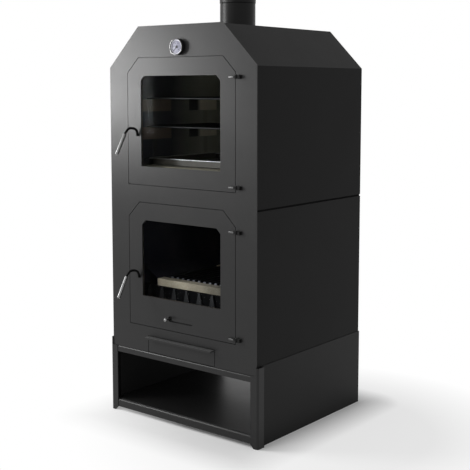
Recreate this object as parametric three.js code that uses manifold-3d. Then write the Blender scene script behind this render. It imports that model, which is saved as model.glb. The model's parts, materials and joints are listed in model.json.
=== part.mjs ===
// Wood cooking stove: an open log store below, a firebox with a glass door, and an oven with a
// glass door above it, in one tall sheet steel cabinet with a flue collar on its clipped roof.
// Millimetres, +Z up, +X to the right of someone who faces the doors, +Y from the front to the back.
// The group is moved at the end so that its origin lies on the floor under the middle of the stove.
import * as THREE from 'three';
import Module from 'manifold-3d';
import { mergeVertices } from 'three/addons/utils/BufferGeometryUtils.js';

const wasm = await Module();
wasm.setup();

// Clearances that every sub-part shares
const seat = 0.3;
const overrun = 6;

// Cabinet
const plateWidth = 780;
const plateTop = 1645;
const plateCorner = 166;
const plateThickness = 4;
const cabinetDepth = 748;
const casingInset = 3.5;
const casingSheet = 3;
const seamHeight = 926;
const dividerThickness = 7;
const dividerRecess = 2.5;

// Open base that holds the logs: bent angles in front, sheets behind them
const baseHeight = 322;
const baseOverhang = 11;
const baseDepth = 752;
const baseSheet = 2;
const postWidth = 37;
const angleReturn = 36;
const angleSheet = 3.4;
const angleBend = 8;
const railSetback = 1.8;
const upperRailTop = 289;
const upperRailHeight = 26;
const lowerRailTop = 50;
const lowerRailHeight = 33;
const ledgeThickness = 3.4;
const ledgeWidth = 32;
const shelfSheet = 2;
const footCut = 16;
const rearRailHeight = 40;

// Doors: both are the same plate with a window of its own height
const doorFromEdge = 104;
const doorHeight = 520;
const doorCorner = 61;
const doorGap = 2.5;
const doorPlate = 4;
const doorStile = 74;
const windowCorner = 20;
const upperDoorBottom = 996;
const lowerDoorBottom = 401;
const upperWindowBottom = 1072;
const upperWindowHeight = 372;
const lowerWindowBottom = 528;
const lowerWindowHeight = 320;
const glassThickness = 4;
const glassOverlap = 7;
const retainerSheet = 2;
const retainerHold = 6;

// Rope seal of a door, the two strips that hold it and the frame that it closes on
const stripSheet = 2;
const stripHeight = 8;
const stripInset = 4;
const ropeWidth = 11.4;
const ropeHeight = 10.8;
const frameSheet = 2;
const frameFlange = 12;
const frameSide = 4;
const frameSeat = 28;

// Hinges: an eye on the door between the two ears of a block on the front plate
const hingeAxisOut = 12;
const hingeAxisForward = 9;
const hingeBarrelRadius = 6.5;
const hingeBarrelHeight = 14;
const hingeEyeHeight = 5.2;
const hingeStrapLength = 40;
const hingeStrapHeight = 7;
const hingeStrapThickness = 6;
const hingeBlockWidth = 18;
const hingePinRadius = 3;
const hingePinHeadRadius = 4.6;
const hingePinHead = 2.4;
const hingeTopDrop = 80;
const hingeBottomRise = 18;
const eyeRelief = 1.3;
const eyeSetback = 1;

// Handles: a bent rod that turns in the door and carries a steel grip outside and a latch inside
const rodRadius = 5;
const spindleFromEdge = 56;
const spindleRise = 205;
const spindleStub = 5;
const spindleInner = 25;
const neckRise = 26;
const neckTopForward = 31;
const neckTopShift = 12;
const neckBend = 9;
const neckSweep = 23;
const gripTopForward = 54;
const gripTopShift = 23;
const gripTopRise = 4;
const gripOut = 54;
const gripDrop = 80;
const gripShift = 6;
const gripRadius = 7;
const gripChamfer = 1;
const gripBore = 31;
const latchReach = 30;
const latchWidth = 12;
const latchThickness = 4;
const latchHubRadius = 9;
const latchClearance = 0.6;

// Air regulator in the lower door
const airSlotWidth = 136;
const airSlotHeight = 24;
const airSlotRise = 48;
const airPlateWidth = 152;
const airPlateHeight = 40;
const airPlateThickness = 3;
const airTravel = 118;
const airRailHeight = 3;
const airRailLip = 3.5;
const airRailRun = 6;
const knobStemRadius = 3.5;
const knobRadius = 6;
const knobLength = 9;
const knobForward = 27;
const knobFromSlotEnd = 7;
const knobChamfer = 2;

// Ash drawer and the floor that it slides on
const drawerFrontWidth = 360;
const drawerFrontHeight = 65;
const drawerLip = 24;
const drawerLipHem = 8;
const drawerSheet = 1.5;
const drawerFrontSheet = 3;
const drawerBoxInset = 12;
const drawerBoxDepth = 425;
const drawerBoxHeight = 58;
const drawerGap = 2.5;
const ashFloorSheet = 3;
const guideSheet = 3;
const guideHeight = 20;
const guideClearance = 2;
const guideLength = 560;

// Firebox
const linerFromEdge = 105;
const linerSheet = 4;
const linerDepth = 600;
const hearthTop = 557;
const hearthSheet = 4;
const hearthFront = 80;
const apronHeight = 158;
const apronHoleWidth = 60;
const apronHoleHeight = 24;
const apronHoleRise = 96;
const apronHoleCount = 5;
const apronHolePitch = 96;
const hearthFromLiner = 75;
const brickThickness = 30;
const brickSetback = 10;
const frontBrickDepth = 40;
const grateDepth = 350;
const grateThickness = 26;
const grateBarPitch = 30;
const grateSlotWidth = 17;
const grateRim = 16;
const grateLedge = 14;
const skirtTop = 640;
const skirtSlopeDrop = 50;
const guardThickness = 5;
const guardTop = 556;
const guardToothFoot = 508;
const guardStripHeight = 28;
const guardInset = 7;
const guardToothTopWidth = 8;
const guardToothFootWidth = 30;
const guardTeeth = 8;
const chuteSheet = 2;
const chuteLedge = 20;
const chuteFootInset = 8;
const chuteFoot = 356;
const smokeHoleWidth = 150;
const smokeHoleDepth = 160;
const smokeHoleFromCentre = 110;
const smokeHoleBack = 594;

// Oven
const ovenFromEdge = 115;
const ovenFloor = 1046;
const ovenRoof = 1580;
const ovenCorner = 60;
const ovenSheet = 2;
const ovenDepth = 600;
const ovenCollarMargin = 23;
const ovenCollarBottom = 968;
const ovenCollarTop = 1600;
const ovenCollarCorner = 62;
const stoneInset = 13;
const stoneThickness = 24;
const stoneFront = 60;
const runnerSheet = 1.5;
const runnerFlange = 13;
const runnerWebHeight = 52;
const runnerFront = 70;
const runnerLength = 490;
const runnerFrontWeb = 182;
const runnerRearWeb = 190;
const runnerHoleRadius = 4;
const runnerHoleBack = 114;
const runnerHoleDrop = 10;
const runnerUprightWidth = 24;
const runnerUprightInset = 78;
const lowestRunner = 1097;
const middleRunner = 1230;
const highestRunner = 1348;
const trayFront = 100;
const trayDepth = 420;
const trayInset = 5;
const trayRim = 24;
const trayDrop = 25;
const traySheet = 1.5;
const traySlant = 6;
const rackRodRadius = 2.5;
const rackFrameRadius = 3.5;
const rackInset = 7;
const rackFront = 84;
const rackDepth = 440;
const rackRods = 11;
const rackCorner = 22;
const rackCornerSteps = 5;

// Flue collar
const flueRadius = 75;
const flueWall = 2;
const flueRise = 125;
const flueBeadHeight = 21;
const flueBead = 1.6;
const flueFlange = 18;
const flueFlangeSheet = 2;

// Dial thermometer above the upper door
const dialDrop = 89;
const dialRadius = 29.4;
const caseWall = 2.6;
const caseFloor = 12;
const caseDepth = 17;
const bezelWidth = 3.6;
const bezelDepth = 2.4;
const bezelChamfer = 1;
const dialSheet = 1;
const lensThickness = 1.2;
const needleHubRadius = 2.6;
const needleThickness = 0.8;
const needleLength = 21;
const needleTail = 7;
const needleHalfWidth = 1.1;
const needleAngle = 225;
const stemRadius = 4;
const stemLength = 92;

// Facets of round pieces
const fineFacets = 48;
const roundFacets = 24;
const rodFacets = 10;
const rodSteps = 44;
const bendSteps = 4;
const halfTurn = 180;

// Places that several sub-parts share
const halfPlate = plateWidth / 2;
const cabinetBottom = upperRailTop + seat;
const plateBack = plateThickness + seat;
const casingHalf = halfPlate - casingInset;
const casingTop = plateTop - casingInset;
const baseHalf = halfPlate + baseOverhang;
const baseFront = -angleSheet - seat;
const sideInner = casingHalf + seat;
const sideOuter = sideInner + baseSheet;
const doorWidth = plateWidth - 2 * doorFromEdge;
const windowWidth = doorWidth - 2 * doorStile;
const linerHalfWidth = halfPlate - linerFromEdge;
const hearthHalfWidth = linerHalfWidth - hearthFromLiner;
const ovenHalfWidth = halfPlate - ovenFromEdge;
const drawerBoxWidth = drawerFrontWidth - 2 * drawerBoxInset;
const dividerBottom = seamHeight + seat;
const dividerTop = dividerBottom + dividerThickness;
const upperCasingBottom = dividerTop + seat;
const frameFace = doorPlate + seat + ropeHeight + seat;
const frameBack = frameFace + frameSheet;
const hingeX = doorWidth / 2 + hingeAxisOut;
const hingeY = -hingeAxisForward;
const spindleX = -doorWidth / 2 + spindleFromEdge;
const flueTop = plateTop + flueRise;
const dialHeight = plateTop - dialDrop;
const flueX = 0;
const flueY = cabinetDepth / 2;
const ashFloorTop = cabinetBottom + ashFloorSheet;
const drawerBottom = ashFloorTop + seat;
const airSlotCentre = lowerDoorBottom + airSlotRise;

// Finishes
function finish(color, roughness, metalness) {
  return new THREE.MeshStandardMaterial({ color, roughness, metalness });
}
const blackPaint = finish(0x3a3a3b, 0.55, 0.2);
const bareSteel = finish(0xb9b9b6, 0.3, 1);
const ovenSteel = finish(0x77726a, 0.4, 0.9);
const castIron = finish(0x2b2b2c, 0.8, 0.4);
const firebrick = finish(0xd8cfb4, 0.95, 0);
const fireRope = finish(0x55524c, 0.95, 0);
const stoveGlass = new THREE.MeshStandardMaterial({
  color: 0x22201e,
  roughness: 0.05,
  transparent: true,
  opacity: 0.35,
});
const chrome = finish(0xdcdcdc, 0.12, 1);
const dialWhite = finish(0xf0f0ee, 0.6, 0);
const needleBlack = finish(0x111111, 0.5, 0);

const stove = new THREE.Group();

function add(name, geometry, material) {
  const mesh = new THREE.Mesh(geometry, material);
  mesh.name = name;
  stove.add(mesh);
  return mesh;
}

// Solids and boolean joins
function solidOf(geometry) {
  const bare = geometry.clone();
  bare.deleteAttribute('normal');
  bare.deleteAttribute('uv');
  const merged = mergeVertices(bare);
  const vertProperties = new Float32Array(merged.attributes.position.array);
  const triVerts = new Uint32Array(merged.index.array);
  return new wasm.Manifold(new wasm.Mesh({ numProp: 3, vertProperties, triVerts }));
}

function geometryOf(solid) {
  const mesh = solid.getMesh();
  const geometry = new THREE.BufferGeometry();
  geometry.setAttribute('position', new THREE.BufferAttribute(mesh.vertProperties, 3));
  geometry.setIndex(new THREE.BufferAttribute(mesh.triVerts, 1));
  geometry.computeVertexNormals();
  return geometry;
}

function join(...geometries) {
  return geometryOf(geometries.map(solidOf).reduce((whole, piece) => whole.add(piece)));
}

function cut(geometry, ...cutters) {
  const tools = cutters.map(solidOf);
  return geometryOf(tools.reduce((whole, piece) => whole.subtract(piece), solidOf(geometry)));
}

// A block between two values on each axis
function block(x0, x1, y0, y1, z0, z1) {
  const geometry = new THREE.BoxGeometry(x1 - x0, y1 - y0, z1 - z0);
  return geometry.translate((x0 + x1) / 2, (y0 + y1) / 2, (z0 + z1) / 2);
}

function shapeOf(outline, holes = []) {
  const shape = new THREE.Shape(outline.map(([a, b]) => new THREE.Vector2(a, b)));
  for (const hole of holes) {
    shape.holes.push(new THREE.Path(hole.map(([a, b]) => new THREE.Vector2(a, b))));
  }
  return shape;
}

// An outline in X and Z, run along Y
function alongY(outline, y0, y1, holes) {
  const settings = { depth: y1 - y0, bevelEnabled: false };
  const geometry = new THREE.ExtrudeGeometry(shapeOf(outline, holes), settings);
  return geometry.rotateX(Math.PI / 2).translate(0, y1, 0);
}

// An outline in X and Y, run along Z
function alongZ(outline, z0, z1, holes) {
  const settings = { depth: z1 - z0, bevelEnabled: false };
  return new THREE.ExtrudeGeometry(shapeOf(outline, holes), settings).translate(0, 0, z0);
}

// An outline in Y and Z, run along X
function alongX(outline, x0, x1, holes) {
  const settings = { depth: x1 - x0, bevelEnabled: false };
  const geometry = new THREE.ExtrudeGeometry(shapeOf(outline, holes), settings);
  const turn = new THREE.Matrix4().makeBasis(
    new THREE.Vector3(0, 1, 0),
    new THREE.Vector3(0, 0, 1),
    new THREE.Vector3(1, 0, 0),
  );
  return geometry.applyMatrix4(turn).translate(x0, 0, 0);
}

function rectangle(a0, a1, b0, b1) {
  return [[a0, b0], [a1, b0], [a1, b1], [a0, b1]];
}

function circle(centreA, centreB, radius, facets) {
  const points = [];
  for (let i = 0; i < facets; i += 1) {
    const angle = (2 * Math.PI * i) / facets;
    points.push([centreA + radius * Math.cos(angle), centreB + radius * Math.sin(angle)]);
  }
  return points;
}

// A rectangle with both upper corners cut at 45 degrees, its edge moved outwards by grow
function clipped(halfWidth, bottom, top, corner, grow = 0) {
  const half = halfWidth + grow;
  const low = bottom - grow;
  const high = top + grow;
  const clip = corner + grow * (2 - Math.SQRT2);
  return [
    [-half, low],
    [half, low],
    [half, high - clip],
    [half - clip, high],
    [-half + clip, high],
    [-half, high - clip],
  ];
}

// A slot with round ends, lying along its first axis
function stadium(centreA, centreB, length, height, facets) {
  const radius = height / 2;
  const reach = length / 2 - radius;
  const points = [];
  for (const [side, from] of [[1, -Math.PI / 2], [-1, Math.PI / 2]]) {
    for (let i = 0; i <= facets; i += 1) {
      const angle = from + (Math.PI * i) / facets;
      points.push([
        centreA + side * reach + radius * Math.cos(angle),
        centreB + radius * Math.sin(angle),
      ]);
    }
  }
  return points;
}

// Points of a quarter bend around a centre, from one angle to the next
function bend(centreA, centreB, radius, from, to) {
  const points = [];
  for (let i = 0; i <= bendSteps; i += 1) {
    const angle = from + ((to - from) * i) / bendSteps;
    points.push([centreA + radius * Math.cos(angle), centreB + radius * Math.sin(angle)]);
  }
  return points;
}

function roundedRectangle(a0, a1, b0, b1, radius) {
  const corners = [
    [a1 - radius, b0 + radius, -Math.PI / 2],
    [a1 - radius, b1 - radius, 0],
    [a0 + radius, b1 - radius, Math.PI / 2],
    [a0 + radius, b0 + radius, Math.PI],
  ];
  const points = [];
  for (const [a, b, from] of corners) {
    for (let i = 0; i <= rackCornerSteps; i += 1) {
      const angle = from + (Math.PI / 2) * (i / rackCornerSteps);
      points.push([a + radius * Math.cos(angle), b + radius * Math.sin(angle)]);
    }
  }
  return points;
}

// Round wire bent along a closed outline that lies flat at one height
function closedWire(outline, z, radius) {
  const place = [];
  const index = [];
  const count = outline.length;
  for (let i = 0; i < count; i += 1) {
    const before = new THREE.Vector2(...outline[(i + count - 1) % count]);
    const here = new THREE.Vector2(...outline[i]);
    const after = new THREE.Vector2(...outline[(i + 1) % count]);
    const run = after.clone().sub(here).normalize().add(here.clone().sub(before).normalize());
    const out = new THREE.Vector2(run.y, -run.x).normalize();
    for (let j = 0; j < rodFacets; j += 1) {
      const angle = (2 * Math.PI * (j + 1 / 2)) / rodFacets;
      const side = radius * Math.cos(angle);
      place.push(here.x + out.x * side, here.y + out.y * side, z + radius * Math.sin(angle));
      const [next, up] = [((i + 1) % count) * rodFacets, (j + 1) % rodFacets];
      const [a, b, c, d] = [i * rodFacets + j, next + j, next + up, i * rodFacets + up];
      index.push(a, b, c, a, c, d);
    }
  }
  const geometry = new THREE.BufferGeometry();
  geometry.setAttribute('position', new THREE.Float32BufferAttribute(place, 3));
  geometry.setIndex(index);
  return geometry;
}

// A turned piece whose profile holds pairs of radius and height; it stands along +Z
function turned(profile, facets) {
  const points = profile.map(([radius, height]) => new THREE.Vector2(radius, height));
  return new THREE.LatheGeometry(points, facets).rotateX(Math.PI / 2);
}

// The same, but lying along +Y
function turnedAlongY(profile, facets) {
  const points = profile.map(([radius, height]) => new THREE.Vector2(radius, height));
  return new THREE.LatheGeometry(points, facets);
}

function pinAlongZ(x, y, z0, z1, radius, facets = roundFacets) {
  return alongZ(circle(x, y, radius, facets), z0, z1);
}

function pinAlongY(x, z, y0, y1, radius, facets = roundFacets) {
  return alongY(circle(x, z, radius, facets), y0, y1);
}

function mirrored(geometry) {
  const other = geometry.clone();
  other.scale(-1, 1, 1);
  if (other.index) {
    const index = other.index.array;
    for (let i = 0; i < index.length; i += 3) {
      [index[i], index[i + 1]] = [index[i + 1], index[i]];
    }
    return other;
  }
  const place = other.attributes.position;
  for (let i = 0; i < place.count; i += 3) {
    const first = new THREE.Vector3().fromBufferAttribute(place, i);
    const second = new THREE.Vector3().fromBufferAttribute(place, i + 1);
    place.setXYZ(i, second.x, second.y, second.z);
    place.setXYZ(i + 1, first.x, first.y, first.z);
  }
  other.deleteAttribute('normal');
  other.deleteAttribute('uv');
  other.computeVertexNormals();
  return other;
}

function addPair(name, rightGeometry, material) {
  add(`${name}_right`, rightGeometry, material);
  add(`${name}_left`, mirrored(rightGeometry), material);
}

// Open base
function makeBase() {
  addBaseSides();
  addFrontPosts();
  addFrontRails();
  const shelfBottom = lowerRailTop + seat;
  const shelfHalf = sideInner - seat;
  const noseHalf = baseHalf - postWidth - seat;
  const shelfBack = baseDepth - baseSheet - seat;
  const shelfFront = angleReturn + seat;
  const shelfNose = block(
    -noseHalf, noseHalf,
    baseFront + railSetback + angleBend, shelfFront + overrun,
    shelfBottom, shelfBottom + shelfSheet,
  );
  const shelf = block(-shelfHalf, shelfHalf, shelfFront, shelfBack, shelfBottom, shelfBottom + shelfSheet);
  add('base_shelf', join(shelf, shelfNose), blackPaint);

  const backHalf = sideInner - seat;
  const ledgeTop = cabinetBottom - seat;
  const backRail = alongX(
    [
      [baseDepth - baseSheet, ledgeTop - rearRailHeight],
      [baseDepth, ledgeTop - rearRailHeight],
      [baseDepth, baseHeight],
      [baseDepth - baseSheet, baseHeight],
    ],
    -backHalf,
    backHalf,
  );
  add('base_back_panel', backRail, blackPaint);
}

function addBaseSides() {
  const front = angleReturn + seat;
  const foldBack = baseDepth - baseSheet - seat;
  const ledgeInner = sideInner - ledgeWidth;
  const fold = (top, sheet) => block(ledgeInner, sideOuter, front, foldBack, top - sheet, top);
  const side = join(
    block(sideInner, sideOuter, front, baseDepth, 0, baseHeight),
    block(sideInner, baseHalf, front, front + baseSheet, 0, baseHeight),
    fold(baseSheet, baseSheet),
    fold(cabinetBottom - seat, ledgeThickness),
    fold(lowerRailTop, ledgeThickness),
  );
  addPair('base_side', side, blackPaint);
}

// Bent angle at each front corner, with a clipped foot and a notch that clears the plate
function addFrontPosts() {
  const postInner = baseHalf - postWidth;
  const postBack = -seat;
  const legInner = baseHalf - angleSheet;
  const insideBend = angleBend - angleSheet;
  const centreX = baseHalf - angleBend;
  const centreY = baseFront + angleBend;
  const post = alongZ(
    [
      [postInner, baseFront],
      ...bend(centreX, centreY, angleBend, -Math.PI / 2, 0),
      [baseHalf, angleReturn],
      [legInner, angleReturn],
      ...bend(centreX, centreY, insideBend, 0, -Math.PI / 2),
      [postInner, postBack],
    ],
    0,
    baseHeight,
  );
  const footWedge = alongY(
    [
      [postInner - overrun, -overrun],
      [postInner + footCut + overrun, -overrun],
      [postInner - overrun, footCut + overrun],
    ],
    baseFront - overrun,
    postBack + overrun,
  );
  const notch = block(
    postInner - overrun, halfPlate + seat,
    baseFront - overrun, postBack + overrun,
    upperRailTop, baseHeight + overrun,
  );
  addPair('front_post', cut(post, footWedge, notch), blackPaint);
}

// Bent angles across the front: their bends face up, so that cabinet and shelf rest on them
function addFrontRails() {
  const railHalf = baseHalf - postWidth - seat;
  const front = baseFront + railSetback;
  const insideBend = angleBend - angleSheet;
  const section = (top, height) => [
    [front, top - height],
    [front + angleSheet, top - height],
    ...bend(front + angleBend, top - angleBend, insideBend, Math.PI, Math.PI / 2),
    [angleReturn, top - angleSheet],
    [angleReturn, top],
    ...bend(front + angleBend, top - angleBend, angleBend, Math.PI / 2, Math.PI),
  ];
  const upper = alongX(section(upperRailTop, upperRailHeight), -railHalf, railHalf);
  add('upper_front_rail', upper, blackPaint);
  const lower = alongX(section(lowerRailTop, lowerRailHeight), -railHalf, railHalf);
  add('lower_front_rail', lower, blackPaint);
}

// Hinge block on the front plate, with its pin hole and the slot for the door's eye
function hingeBlock(z) {
  const half = hingeBarrelHeight / 2;
  const slotHalf = hingeEyeHeight / 2 + seat;
  const slotEnd = hingeX + hingeBarrelRadius + eyeRelief;
  const front = hingeY - hingeBarrelRadius + hingePinRadius;
  const ears = join(
    pinAlongZ(hingeX, hingeY, z - half, z + half, hingeBarrelRadius),
    block(hingeX, hingeX + hingeBlockWidth, front, plateThickness / 2, z - half, z + half),
  );
  return cut(
    ears,
    block(
      hingeX - hingeBarrelRadius - overrun, slotEnd,
      hingeY - hingeBarrelRadius - overrun, plateThickness,
      z - slotHalf, z + slotHalf,
    ),
    pinAlongZ(hingeX, hingeY, z - half - overrun, z + half + overrun, hingePinRadius + seat),
  );
}

// Eye and strap on the door
function hingeEye(z) {
  const half = hingeEyeHeight / 2;
  const strapEnd = hingeX - hingeStrapLength;
  const doorEdge = doorWidth / 2;
  const armFront = hingeY - hingeStrapThickness / 2 + eyeSetback;
  const whole = join(
    pinAlongZ(hingeX, hingeY, z - half, z + half, hingeBarrelRadius),
    block(
      strapEnd + hingeBarrelRadius, hingeX,
      armFront, armFront + hingeStrapThickness,
      z - half, z + half,
    ),
    block(
      strapEnd, doorEdge,
      -hingeStrapThickness, doorPlate / 2,
      z - hingeStrapHeight / 2, z + hingeStrapHeight / 2,
    ),
  );
  return cut(
    whole,
    pinAlongZ(hingeX, hingeY, z - half - overrun, z + half + overrun, hingePinRadius + seat),
  );
}

function hingeHeights(doorBottom) {
  return { top: doorBottom + doorHeight - hingeTopDrop, bottom: doorBottom + hingeBottomRise };
}

function addHingePins(door, doorBottom) {
  const heights = hingeHeights(doorBottom);
  const half = hingeBarrelHeight / 2;
  for (const place of ['top', 'bottom']) {
    const z = heights[place];
    const pin = join(
      pinAlongZ(hingeX, hingeY, z - half, z + half + seat + hingePinHead, hingePinRadius),
      pinAlongZ(hingeX, hingeY, z + half + seat, z + half + seat + hingePinHead, hingePinHeadRadius),
    );
    add(`${door}_hinge_pin_${place}`, pin, blackPaint);
  }
}

// Front plate, casings, floor, divider, rear panel and flue collar
function doorOutline(doorBottom, grow) {
  return clipped(doorWidth / 2, doorBottom, doorBottom + doorHeight, doorCorner, grow);
}

function makeCabinet() {
  const drawerHalf = drawerFrontWidth / 2 + drawerGap;
  const drawerTop = drawerBottom + drawerFrontHeight + drawerGap;
  const [lowerLeft, ...others] = clipped(halfPlate, cabinetBottom, plateTop, plateCorner);
  const drawerNotch = [
    [-drawerHalf, cabinetBottom],
    [-drawerHalf, drawerTop],
    [drawerHalf, drawerTop],
    [drawerHalf, cabinetBottom],
  ];
  const plate = alongY([lowerLeft, ...drawerNotch, ...others], 0, plateThickness, [
    doorOutline(upperDoorBottom, doorGap),
    doorOutline(lowerDoorBottom, doorGap),
    circle(0, dialHeight, stemRadius + seat, roundFacets),
  ]);
  const blocks = [];
  for (const doorBottom of [upperDoorBottom, lowerDoorBottom]) {
    const heights = hingeHeights(doorBottom);
    blocks.push(hingeBlock(heights.top), hingeBlock(heights.bottom));
  }
  add('front_plate', join(plate, ...blocks), blackPaint);

  const casingInner = casingHalf - casingSheet;
  const casing = alongZ(
    [
      [-casingHalf, plateBack],
      [-casingInner, plateBack],
      [-casingInner, cabinetDepth - casingSheet],
      [casingInner, cabinetDepth - casingSheet],
      [casingInner, plateBack],
      [casingHalf, plateBack],
      [casingHalf, cabinetDepth],
      [-casingHalf, cabinetDepth],
    ],
    cabinetBottom,
    seamHeight,
  );
  add('firebox_casing', casing, blackPaint);

  const outer = clipped(halfPlate, 0, plateTop, plateCorner, -casingInset).slice(2);
  const inner = clipped(halfPlate, 0, plateTop, plateCorner, -casingInset - casingSheet).slice(2);
  const wrap = alongY(
    [
      [casingHalf, upperCasingBottom],
      ...outer,
      [-casingHalf, upperCasingBottom],
      [-casingInner, upperCasingBottom],
      ...inner.reverse(),
      [casingInner, upperCasingBottom],
    ],
    plateBack,
    cabinetDepth,
  );
  const flueHole = pinAlongZ(
    flueX, flueY, casingTop - casingSheet - overrun, casingTop + overrun, flueRadius + seat, fineFacets,
  );
  add('oven_casing', cut(wrap, flueHole), blackPaint);

  const panelInset = casingInset + casingSheet + seat;
  const rearOutline = clipped(halfPlate, 0, plateTop, plateCorner, -panelInset).slice(2);
  const rearHalf = halfPlate - panelInset;
  add(
    'oven_rear_panel',
    alongY(
      [[-rearHalf, upperCasingBottom], [rearHalf, upperCasingBottom], ...rearOutline],
      cabinetDepth - casingSheet,
      cabinetDepth,
    ),
    blackPaint,
  );

  const dividerHalf = casingHalf - dividerRecess;
  const holes = [];
  for (const side of [-1, 1]) {
    const middle = side * (smokeHoleFromCentre + smokeHoleWidth / 2);
    holes.push(
      block(
        middle - smokeHoleWidth / 2, middle + smokeHoleWidth / 2,
        smokeHoleBack - smokeHoleDepth, smokeHoleBack,
        dividerBottom - overrun, dividerTop + overrun,
      ),
    );
  }
  const divider = block(
    -dividerHalf, dividerHalf,
    frameBack + seat, cabinetDepth - dividerRecess,
    dividerBottom, dividerTop,
  );
  add('divider_plate', cut(divider, ...holes), blackPaint);

  const floorHalf = casingInner - seat;
  const guideInner = drawerBoxWidth / 2 + guideClearance;
  const guideFront = frameBack;
  const floor = join(
    block(
      -floorHalf, floorHalf, plateBack, cabinetDepth - casingSheet - seat,
      ashFloorTop - ashFloorSheet, ashFloorTop,
    ),
    block(
      guideInner, guideInner + guideSheet, guideFront, guideFront + guideLength,
      ashFloorTop - ashFloorSheet / 2, ashFloorTop + guideHeight,
    ),
    block(
      -guideInner - guideSheet, -guideInner, guideFront, guideFront + guideLength,
      ashFloorTop - ashFloorSheet / 2, ashFloorTop + guideHeight,
    ),
  );
  add('ash_pit_floor', floor, blackPaint);

  const flangeTop = casingTop - casingSheet - seat;
  const collar = turned(
    [
      [flueRadius - flueWall, flangeTop - flueFlangeSheet],
      [flueRadius + flueFlange, flangeTop - flueFlangeSheet],
      [flueRadius + flueFlange, flangeTop],
      [flueRadius, flangeTop],
      [flueRadius, flueTop - flueBeadHeight],
      [flueRadius + flueBead, flueTop - flueBeadHeight + flueBead],
      [flueRadius + flueBead, flueTop],
      [flueRadius - flueWall, flueTop],
      [flueRadius - flueWall, flangeTop - flueFlangeSheet],
    ],
    fineFacets,
  );
  add('flue_collar', collar.translate(flueX, flueY, 0), blackPaint);
}

// A ring of sheet whose edges follow one clipped outline
function ring(outlineOf, outerGrow, innerGrow, y0, y1) {
  return alongY(outlineOf(outerGrow), y0, y1, [outlineOf(innerGrow)]);
}

function makeDoor(door, doorBottom, windowBottom, windowHeight, extras, slots) {
  const outline = (grow) => doorOutline(doorBottom, grow);
  const pane = (grow) => clipped(
    windowWidth / 2, windowBottom, windowBottom + windowHeight, windowCorner, grow,
  );
  const spindleZ = doorBottom + spindleRise;
  const stripBack = doorPlate + stripHeight;
  const outerStrip = -stripInset - stripSheet;
  const innerStrip = outerStrip - seat - ropeWidth - seat;
  const heights = hingeHeights(doorBottom);
  const spindleHole = circle(spindleX, spindleZ, rodRadius + seat, roundFacets);
  const panel = join(
    alongY(outline(0), 0, doorPlate, [pane(0), spindleHole, ...slots]),
    ring(outline, -stripInset, outerStrip, doorPlate - stripSheet, stripBack),
    ring(outline, innerStrip, innerStrip - stripSheet, doorPlate - stripSheet, stripBack),
    hingeEye(heights.top),
    hingeEye(heights.bottom),
    ...extras,
  );
  add(`${door}_panel`, panel, blackPaint);

  const rope = ring(
    outline, outerStrip - seat, innerStrip + seat, doorPlate + seat, doorPlate + seat + ropeHeight,
  );
  add(`${door}_rope_seal`, rope, fireRope);

  const glassBack = doorPlate + seat + glassThickness;
  add(`${door}_glass`, alongY(pane(glassOverlap), doorPlate + seat, glassBack), stoveGlass);

  const retainerInner = glassOverlap + seat;
  const retainerOuter = retainerInner + retainerSheet;
  const retainer = join(
    ring(pane, retainerOuter, retainerInner, doorPlate + seat, glassBack + seat + retainerSheet),
    ring(
      pane, retainerOuter, glassOverlap - retainerHold,
      glassBack + seat, glassBack + seat + retainerSheet,
    ),
  );
  add(`${door}_glass_retainer`, retainer, ovenSteel);
  addHingePins(door, doorBottom);

  const wallInner = doorGap + frameSide;
  const wallOuter = wallInner + frameSheet;
  const frame = join(
    ring(outline, wallOuter + frameFlange, wallInner, plateBack, plateBack + frameSheet),
    ring(outline, wallOuter, wallInner, plateBack, frameBack),
    ring(outline, wallOuter, wallOuter - frameSeat - seat, frameFace, frameBack),
  );
  add(`${door}_frame`, frame, blackPaint);
}

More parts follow.
